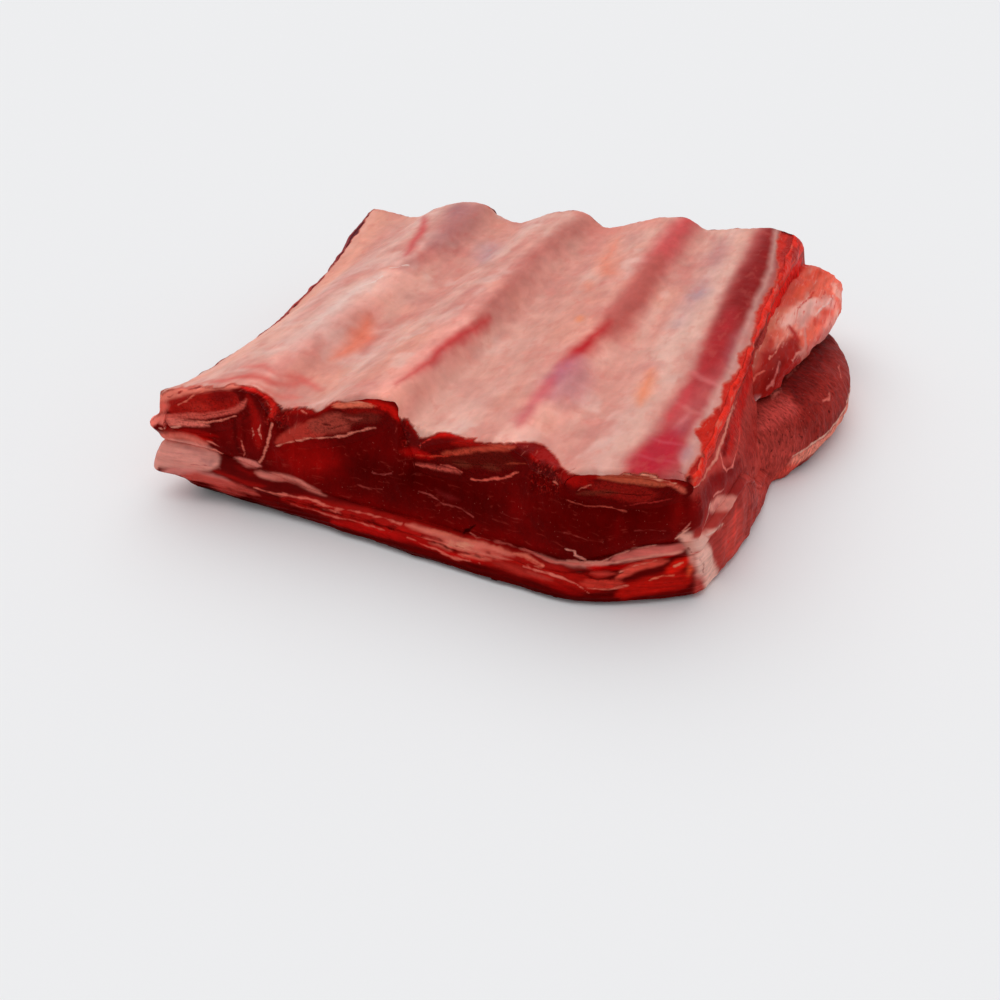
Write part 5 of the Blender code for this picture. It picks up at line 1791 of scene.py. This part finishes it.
# %% Paint of the membrane: patches as (colour, strength, size, seed, gain, shift)
# How strongly painted light brightens each rib's right flank against its shade, and the depth behind which
# it fades out.
RIB_FLANK_LIGHT = (0.33, 0.38, 0.28, 0.12)
FLANK_LIGHT_BEFORE = 205.0
PATCHES_UNDER = (
    ((224, 170, 154), 0.75, (12, 55, 9), 71, 0.9, 0.35),
    ((202, 126, 116), 0.45, (9, 30, 9), 72, 1.1, -0.1),
    ((226, 152, 128), 0.35, (18, 30, 9), 73, 1.2, -0.3),
)
PATCHES_OVER = (
    ((190, 118, 110), 0.35, (15, 19, 9), 77, 1.6, -0.3),
    ((230, 190, 178), 0.4, (13, 17, 9), 78, 1.6, -0.45),
    ((206, 108, 100), 0.3, (10, 14, 9), 79, 1.6, -0.5),
)


def rib_place(points):
    """Grain coordinates of the skin: places along the same line of a rib get the same first number."""
    x, y, z = points.T
    centres = rib_centres(y)
    outside = np.minimum(x - centres[0], 0) + np.maximum(x - centres[-1], 0)
    return np.column_stack([through(x, centres, rib_centres(SLAB_DEPTH / 2)) + outside, y, 0 * z])


def paint_skin(points):
    """The membrane's paint: patches, a painted highlight on each rib's left flank, painted shade and then
    painted light on its right flank, more patches, the strokes.
    """
    x, y, _ = points.T
    place = rib_place(points)
    paint = dye(213, 145, 131) * np.ones((len(points), 1))
    for patch in PATCHES_UNDER:
        mottle(paint, place, *patch)
    for centre, half, flank_light in zip(rib_centres(y), bone_half_widths(y), RIB_FLANK_LIGHT):
        across = (x - centre) / half
        # Each rib gets a painted highlight on its left flank and painted shade on its right flank.
        wash(paint, dye(226, 182, 168), 0.5 * np.exp(-(((across + 0.45) / 0.28) ** 2)))
        wash(paint, dye(204, 128, 118), 0.25 * np.exp(-(((across - 0.8) / 0.3) ** 2)))
        # Painted light on each rib's right flank, which offsets the shade there, except near the back.
        flank_light_mask = np.exp(-(((across - 0.8) / 0.42) ** 2)) * ease((FLANK_LIGHT_BEFORE - y) / 50)
        paint *= 1 + flank_light * flank_light_mask[:, None]
    for patch in PATCHES_OVER:
        mottle(paint, place, *patch)
    return lay(paint, shaken(points, points[:, :2], 0.9), SKIN_STROKES)


# %% [markdown]
# The wall of this piece carries the pictures of the four sides. On top, the strip of bare meat behind the
# front edge carries on the front's picture. The membrane's paint then covers all that isn't bare. Where
# the membrane hangs over the cut it lies in shade, so there it is lifted too, and its edge shows as a
# thin peach line.

# %% Paint of the rib meat
STRIP_DYE = (212, 36, 20)
# The colour of the painted shade in the strip's folds, and how much the strip is lifted: less than the rest
# of the right side, as its bumps face up into the light.
STRIP_SHADE = (150, 12, 7)
STRIP_LIFT = 1.25
LEFT_TOP_DARK = (112, 34, 44)

x, y, z = wall_points.T
wall_paint, (wall_depth, wall_line_paint) = paint_cuts(wall_points, *sides, on_plain_wall(wall_points))
# The left side is painted darker toward its top, near the skin's edge.
wash(wall_paint, dye(*LEFT_TOP_DARK, 1.3), 0.8 * sides[3] * ease((z - 44) / 4) * ease(y / 30))
strip_low = np.interp(y, *np.array(STRIP_LOW).T) + 0.7 * rough(wall_points, 4, 61)
strip = ease((z - strip_low) / 0.8 + 0.5) * sides[1]
wash(wall_paint, dye(*STRIP_DYE, STRIP_LIFT), strip)
# Dark patches over the strip are painted shade in its folds, and pale patches are painted highlights.
dark = ease(rough(wall_points, (4, 12, 2.5), 62) * 1.6)
pale = ease(rough(wall_points, (3, 7, 2), 63) * 2 - 0.9)
wash(wall_paint, dye(*STRIP_SHADE, STRIP_LIFT), 0.8 * strip * dark)
wash(wall_paint, dye(222, 104, 84), 0.7 * strip * pale)
wall_depth[strip > 0.5] = -LINE_REACH
print("bright strip covers", int((strip > 0.5).sum()), "points of the wall")

# %% Bare meat on top
STRIP_INNER = 96.0
BEHIND_EDGE = 14.0
FRONT_ENDS = 112.0
# The bare meat on top is lit, so the front's picture is lifted only a little there.
TOP_LIFT = 1.1

x, y, _ = inner.T
at_right = ease((x - STRIP_INNER) / 6)
top_paint = dye(160, 18, 13) * np.ones((len(inner), 1))
wash(top_paint, dye(*STRIP_DYE, 0.9), at_right)
# The same painted shade lies in patches over the strip on top.
wash(top_paint, dye(*STRIP_SHADE), 0.7 * at_right * ease(rough(inner, (4, 12, 5), 62) * 1.5))
wash(top_paint, dye(92, 26, 36), ease((-90 - x) / 5))
top_depth = np.full(len(inner), -LINE_REACH)
top_line_paint = np.zeros((len(inner), 3))
strip = np.flatnonzero(y < curve(FRONT_EDGE[SKIN], x) + BEHIND_EDGE)
at = shaken(inner[strip], front_place(inner[strip]), STROKE_SHAKE)
front_meat = lay(dye(110, 4, 3) * np.ones((len(strip), 1)), at, FRONT_STROKES, TOP_LIFT)
top_paint[strip] += (front_meat - top_paint[strip]) * ease((FRONT_ENDS - x[strip, None]) / 8)
top_depth[strip], top_line_paint[strip] = fine_lines(at, FRONT_LINES)
print("the front's picture runs on over", len(strip), "points of the top")

# %% Membrane over it
HANGING_LIFT = 1.05
SKIN_CUT_DYE = (206, 84, 66)

skin_paint = paint_skin(visible)
skin_paint[:on_wall] *= HANGING_LIFT
skin_depth, skin_line_paint = fine_lines(shaken(visible, visible[:, :2], 0.6), SKIN_LINES)
meat_paint = np.vstack([wall_paint, top_paint])
paint = meat_paint + (skin_paint - meat_paint) * (1 - bare[:, None])
wash(paint, dye(*SKIN_CUT_DYE), 0.8 * np.clip(4 * bare * (1 - bare), 0, 1))
line_depth = np.where(bare > 0.5, np.append(wall_depth, top_depth), skin_depth)
line_paint = np.where(bare[:, None] > 0.5, np.vstack([wall_line_paint, top_line_paint]), skin_line_paint)

place = np.vstack([wall_place(wall_points), rib_place(inner)])
place += (rib_place(visible) - place) * (1 - bare[:, None])
store_paint(
    rib_meat,
    with_hidden(points, paint, HIDDEN_MEAT),
    with_hidden(points, place),
    (with_hidden(points, line_depth, -LINE_REACH), with_hidden(points, line_paint)),
    flesh=with_hidden(points, bare, 1),
    torn=with_hidden(points, torn_share(wall_points) * bare[:on_wall]),
)


def skin_finish():
    finish = Finish("skin_finish", 0.06, 0.08, (1, 0.5, 0.45))
    flesh = finish.attribute("flesh").outputs["Fac"]
    skin = finish.ramp(flesh, 0.4, 0.6, 1.0, 0.0)
    finish.shade(finish.grain((4, 9, 5), 4), 0.96, 1.04)
    finish.shade(finish.grain((9, 12, 7), 4, 4.0), 0.93, 1.07)
    finish.shade(finish.grain((3.2, 8, 4), 3, 5.0, 0.4), 0.95, 1.06)
    blush = finish.ramp(finish.grain((4.5, 9, 4), 3, 15.0, 0.4), 0.54, 0.7)
    finish.tone(finish.times(blush, skin), 0.22, dye(202, 92, 82))
    fibres = finish.ramp(finish.grain((1.2, 7, 1.6), 4, 3.0, 0.3), 0.62, 0.72)
    finish.tone(finish.times(fibres, flesh), 0.4, dye(214, 110, 92))
    finish.torn_fibres()
    finish.fine_lines(0.9, 0.15)
    finish.bump(finish.grain((2.6, 5, 4), 4, 2.0), 0.1)
    finish.bump(finish.times(finish.grain((1.4, 3, 1.6), 3, 6.0), flesh), 0.5)
    finish.bump(finish.grain((0.9, 0.9, 0.9), 3, 6.0), 0.06)
    return finish.done((9, 16, 6), 0.34, 0.52, detail=3.0)


dress(rib_meat, skin_finish(), "rib_meat")

# %% [markdown]
# ## The lobe of outer muscle and the shelf of fat
#
# Two soft bodies lie against the right side. Each is a row of rounded sections from front to back, pushed
# in and out by the relief. The lobe is cut across its grain, so it shows short upright dashes. The shelf
# lies on it, thick fat at the back and torn red meat toward the front, with pale films between.

# %% Measures of the soft bodies
LOBE_ROOT = 117.0
LOBE_REACH = (
    (66, 117.5), (76, 123), (86, 131.5), (94, 140), (108, 149), (124, 156), (145, 160.5), (168, 159.5),
    (188, 155), (206, 148), (225, 128),
)
LOBE_TOP = ((66, 20), (76, 27), (86, 33), (94, 37), (120, 38), (150, 37), (172, 35), (192, 32), (225, 20))
LOBE_ROUNDNESS = 0.9
LOBE_UNDERCUT = 0.25
LOBE_CROWN = 5.0
LOBE_LIFT = 1.4
SHELF_ROOT = 113.0
SHELF_REACH = (
    (94, 121), (104, 128), (120, 133), (147, 138.5), (165, 143), (183, 145.5), (210, 147.5), (236, 147),
)
SHELF_TOP = ((94, 46), (104, 49), (120, 50), (147, 49.5), (183, 48), (210, 47.5), (236, 46.5))
SHELF_DEPTH = ((94, 3), (104, 7), (120, 9), (147, 10), (165, 11), (183, 14), (210, 21), (236, 28))
SHELF_DROOP = 5.0
SHELF_ROUNDNESS = 0.6
SHELF_LIFT = 1.5

# %% Sections of a soft body
SOFT_SECTIONS = 230
SOFT_ROUND = 110


def rounded(left, right, bottom, top, softness):
    """Sections with a round outer side and a plain inner edge, as arrays (sections, round) of x and z."""
    angle = np.linspace(-np.pi / 2, np.pi / 2, SOFT_ROUND)[None, :]
    across = np.abs(np.cos(angle)) ** softness
    up = np.sign(np.sin(angle)) * np.abs(np.sin(angle)) ** softness
    middle, half = ((top + bottom) / 2)[:, None], ((top - bottom) / 2)[:, None]
    return mix(left, right[:, None], across), middle + half * up


def closed_end(points, steps, bulge):
    """Rings that round off the last section."""
    middle = points[-1].mean(axis=0)
    rings = []
    for k in range(1, steps + 1):
        angle = k / steps * np.pi / 2 * 0.95
        ring = middle + (points[-1] - middle) * np.cos(angle)
        ring[:, 1] += bulge * np.sin(angle)
        rings.append(ring)
    return np.array(rings)


END_STEP = 0.35


def soft_body(name, x, y, z, relief, closing=0):
    """A closed body through sections; relief pushes each point away from its section's inner edge."""
    y = y[:, None] + 0 * x
    points = np.stack([x, y, z], axis=-1)
    inner = np.stack([x[:, :1], y[:, :1], (z[:, :1] + z[:, -1:]) / 2], axis=-1)
    away = points - inner
    away[..., 1] = 0
    away /= np.maximum(np.linalg.norm(away, axis=-1), 1e-6)[..., None]
    points = points + away * relief(points)[..., None]
    if closing:
        points = np.concatenate([points, closed_end(points, closing, closing * END_STEP)])
    points[..., 2] = np.maximum(points[..., 2], 0)
    ends = np.stack([points[0].mean(axis=0), points[-1].mean(axis=0)])
    flat = np.concatenate([points.reshape(-1, 3), ends])
    return new_piece(name, flat, tube_faces(*points.shape[:2])), flat


# %% Lobe, painted on its side: (y, z, width)
LOBE_STROKES = (
    ((162, 56, 49), 0.9, 8, ((60, 10, 40), (78, 10, 40), (90, 14, 30))),
    ((146, 44, 38), 0.7, 6, ((110, 22, 10), (140, 24, 10), (170, 22, 10))),
    ((132, 36, 30), 0.6, 5, ((180, 20, 12), (205, 18, 12))),
    ((170, 60, 54), 0.85, 2.5, ((84, 30, 5), (96, 33, 6), (108, 34, 5))),
    # Painted shadow under the shelf, along the top of the lobe.
    ((84, 3, 3), 0.85, 2.5, (
        (108, 33, 2), (116, 35, 4), (131, 35, 4), (161, 32.5, 4), (190, 28, 4), (215, 22, 4),
    )),
    ((216, 122, 104), 0.95, 1.6, (
        (97, 8, 7), (105, 9, 7), (116, 9, 7), (130, 9, 8), (147, 10, 10), (170, 8, 10), (200, 7, 8),
    )),
    ((188, 64, 52), 0.85, 2, ((92, 2, 5), (97, 5, 5), (104, 3, 4))),
    ((190, 90, 78), 0.6, 2, ((110, 3, 3), (150, 3, 4), (200, 2, 4))),
)
LOBE_LINES = (
    ((176, 82, 72), ((101, 36.8, 0.6), (108, 37.4, 1), (122, 37.2, 1), (138, 36.6, 0.8))),
    ((232, 154, 136), (
        (97, 12, 0.8), (106, 13.4, 1.3), (118, 13.6, 1.4), (132, 14.2, 1.4), (147, 17, 1.4), (166, 15, 1.2),
        (190, 12, 1),
    )),
    ((226, 140, 122), ((108, 6.5, 0.5), (124, 6.8, 0.9), (144, 8, 0.9), (164, 7, 0.6))),
    ((196, 96, 84), ((150, 26, 0.3), (158, 27, 0.6), (166, 26, 0.3))),
    ((196, 96, 84), ((120, 28, 0.3), (126, 27, 0.6), (131, 28.4, 0.3))),
)


def lobe_relief(points):
    """Broad swellings and fine upright strands."""
    return 0.7 * rough(points, (14, 14, 14), 101) + 0.35 * rough(points, (3, 3, 11), 102) - 0.4


y = np.linspace(LOBE_REACH[0][0], LOBE_REACH[-1][0], SOFT_SECTIONS)
top = curve(LOBE_TOP, y)
x, z = rounded(LOBE_ROOT, curve(LOBE_REACH, y), -LOBE_UNDERCUT * top, top, LOBE_ROUNDNESS)
outer_muscle, points = soft_body("outer_muscle_lobe", x, y, np.maximum(z, 0), lobe_relief)
paint = dye(120, 27, 22) * np.ones((len(points), 1))
mottle(paint, points, (138, 36, 30), 0.7, 15, 103, 1, 0.3)
lay(paint, shaken(points, points[:, [1, 2]], 0.8), LOBE_STROKES)
# Below its crown the lobe's side lies in shade, so its paint there is lifted by LOBE_LIFT: painted light
# that offsets that shade.
below_top = curve(LOBE_TOP, points[:, 1]) - points[:, 2]
paint *= mix(LOBE_LIFT, 1.0, ease((LOBE_CROWN - below_top) / LOBE_CROWN))[:, None]
lines = fine_lines(shaken(points, points[:, [1, 2]], 0.5), LOBE_LINES, 1.5)
store_paint(outer_muscle, paint, points[:, [1, 2, 0]], lines)


def lobe_finish():
    finish = Finish("lobe_finish", 0.03, 0.04, (1, 0.4, 0.35))
    finish.shade(finish.grain((5, 9, 6), 3), 0.88, 1.12)
    dashes = finish.grain((0.9, 3.4, 2.2), 3, 7.0, 0.3)
    finish.shade(dashes, 0.6, 1.35)
    pits = finish.ramp(finish.grain((0.7, 2.4, 1.6), 2, 3.0), 0.62, 0.7)
    finish.tone(pits, 0.75, dye(64, 8, 8))
    flecks = finish.ramp(finish.grain((0.6, 1.6, 1.2), 2, 13.0), 0.7, 0.76)
    finish.tone(flecks, 0.5, dye(214, 130, 118))
    finish.fine_lines()
    finish.bump(dashes, 0.5)
    finish.bump(finish.grain((1, 1, 1), 3, 9.0), 0.15)
    return finish.done((4, 4, 4), 0.4, 0.62)


dress(outer_muscle, lobe_finish(), "outer_muscle")

# %% Shelf of fat, painted on the plan: (x, y, width)
SHELF_STROKES = (
    # A dark line along the shelf's root: painted shade in the crease where the shelf meets the slab.
    ((110, 6, 4), 0.95, 1.2, ((113, 96, 4), (114, 130, 4), (115, 170, 4), (117, 205, 4), (120, 240, 4))),
    ((206, 34, 20), 0.9, 1.6, ((119, 170, 3), (121, 200, 4), (124, 225, 5), (126, 240, 4))),
    ((216, 70, 48), 0.8, 2, ((124, 186, 3), (127, 204, 5), (132, 222, 5), (138, 236, 4))),
    ((232, 172, 158), 0.85, 2.2, ((124, 152, 4), (128, 168, 6), (131, 184, 6), (136, 196, 5))),
    ((206, 74, 58), 0.85, 1.6, ((120, 160, 3), (123, 182, 5), (124, 200, 4), (126, 216, 3))),
    ((150, 44, 36), 0.9, 2, ((126, 94, 8), (131, 112, 9), (136, 130, 8), (140, 146, 5), (142, 156, 3))),
    ((146, 14, 9), 0.96, 2.2, (
        (120, 90, 11), (124, 110, 17), (129, 125, 15), (131, 137, 9), (131, 146, 3),
    )),
    ((112, 6, 4), 0.7, 2, ((123, 98, 3), (127, 112, 4), (129, 124, 3))),
    ((196, 66, 54), 0.75, 1.8, ((139, 168, 4), (142, 186, 4), (145, 206, 3))),
    ((170, 24, 16), 0.8, 1.6, ((118, 98, 3), (119, 112, 4), (120, 125, 4), (121, 138, 3))),
    ((216, 110, 92), 0.7, 2.5, ((116, 100, 4), (117, 118, 3), (117.5, 136, 4), (117, 150, 5))),
    ((224, 122, 98), 0.8, 2, ((118.5, 142, 3), (119.5, 152, 4), (121.6, 163, 4), (124, 175, 2))),
    ((226, 84, 58), 0.8, 1.4, ((126, 217, 2), (130, 209, 2.5), (127, 197, 2.5), (124, 186, 1.5))),
    ((208, 154, 144), 0.75, 3, (
        (144, 205, 5), (140, 193, 6), (134.5, 186, 6), (133, 170, 6), (132, 158, 5),
    )),
    ((166, 22, 18), 0.95, 1.4, ((127, 157, 2), (130, 150, 3.4), (133, 143, 2.4))),
    ((190, 150, 148), 0.7, 1.2, ((121, 93, 2), (125, 96, 2.4))),
    ((230, 112, 96), 0.8, 2.5, ((145, 233, 6), (146, 222, 4))),
    ((196, 112, 106), 0.7, 2, ((139, 144, 2), (142, 156, 4), (145, 170, 4), (147, 190, 4))),
    ((150, 60, 54), 0.7, 1.5, ((138, 138, 1), (143, 160, 1.6), (146, 180, 1.6))),
)
SHELF_LINES = (
    ((214, 126, 114), (
        (134, 160, 0.7), (136, 150, 1.4), (136.8, 142, 1.5), (134.3, 135, 1.4), (132.6, 127, 0.8),
    )),
    ((228, 104, 88), ((117, 96, 0.7), (119.5, 103, 1.2), (122.3, 108, 0.6))),
    ((204, 100, 92), ((127.4, 120, 0.5), (127.6, 110, 1), (126.6, 103.5, 1), (124.8, 100, 0.5))),
    ((232, 130, 112), ((123, 118, 0.4), (124.6, 128, 0.9), (126, 140, 0.9), (127, 150, 0.5))),
    ((198, 40, 30), ((128, 176, 0.4), (130, 186, 0.8), (133, 196, 0.8), (134, 206, 0.4))),
    ((198, 50, 38), ((138, 196, 0.3), (139, 206, 0.7), (137, 216, 0.4))),
    ((234, 190, 180), ((137, 176, 0.4), (139, 186, 0.9), (142, 196, 0.9), (143, 208, 0.4))),
)
SHELF_CLOSING = 8
FAT_GREEN = 0.13


def shelf_relief(points):
    """Long folds of fat from front to back, with sharp ridges between them."""
    ridges = 1 - 2 * np.abs(rough(points, (5, 22, 6), 114, 2))
    return 0.8 * rough(points, (9, 12, 7), 111) + 0.5 * rough(points, (3, 8, 3), 112) + 0.9 * ridges - 0.5


y = np.linspace(SHELF_REACH[0][0], SHELF_REACH[-1][0] - 2, SOFT_SECTIONS)
reach, top = curve(SHELF_REACH, y), curve(SHELF_TOP, y)
x, z = rounded(SHELF_ROOT, reach, top - curve(SHELF_DEPTH, y), top, SHELF_ROUNDNESS)
z = z - SHELF_DROOP * (x - SHELF_ROOT) / (reach - SHELF_ROOT)[:, None]
fat_flap, points = soft_body("fat_flap_shelf", x, y, z, shelf_relief, closing=SHELF_CLOSING)
x, y, z = points.T
paint = dye(214, 90, 70) * np.ones((len(points), 1))
mottle(paint, points, (226, 150, 134), 0.75, (6, 17, 9), 113, 1.6, 0.15)
lay(paint, shaken(points, points[:, :2], 1.0), SHELF_STROKES)
# Below its top the shelf lies in shade, so its paint there is lifted by SHELF_LIFT: painted light that
# offsets that shade.
droop = SHELF_DROOP * (x - SHELF_ROOT) / (curve(SHELF_REACH, y) - SHELF_ROOT)
paint *= mix(1.0, SHELF_LIFT, ease((curve(SHELF_TOP, y) - droop - z) / 4))[:, None]
lines = fine_lines(shaken(points, points[:, :2], 0.5), SHELF_LINES)
store_paint(fat_flap, paint, points[:, [1, 0, 2]], lines, fat=np.clip(paint[:, 1] / FAT_GREEN, 0, 1))


def flap_finish():
    finish = Finish("flap_finish", 0.05, 0.08, (1, 0.5, 0.45))
    fat = finish.attribute("fat").outputs["Fac"]
    finish.shade(finish.grain((14, 2.2, 3), 4), 0.88, 1.12)
    streaks = finish.ramp(finish.grain((14, 1.8, 3.0), 4, 6.0, 0.5), 0.6, 0.68)
    finish.tone(finish.times(streaks, fat), 0.6, dye(204, 50, 36))
    folds = finish.ramp(finish.grain((11, 1.3, 1.6), 3, 16.0, 0.5), 0.62, 0.7)
    finish.tone(finish.times(folds, fat), 0.4, dye(236, 190, 178))
    sinews = finish.ramp(finish.grain((7, 1.1, 1.6), 3, 26.0, 0.8), 0.66, 0.72)
    finish.tone(sinews, 0.4, dye(214, 112, 98))
    finish.fine_lines()
    finish.bump(finish.grain((8, 1.5, 2), 4, 2.0), 0.35)
    return finish.done((4, 3, 4), 0.34, 0.56)


dress(fat_flap, flap_finish(), "fat_flap")
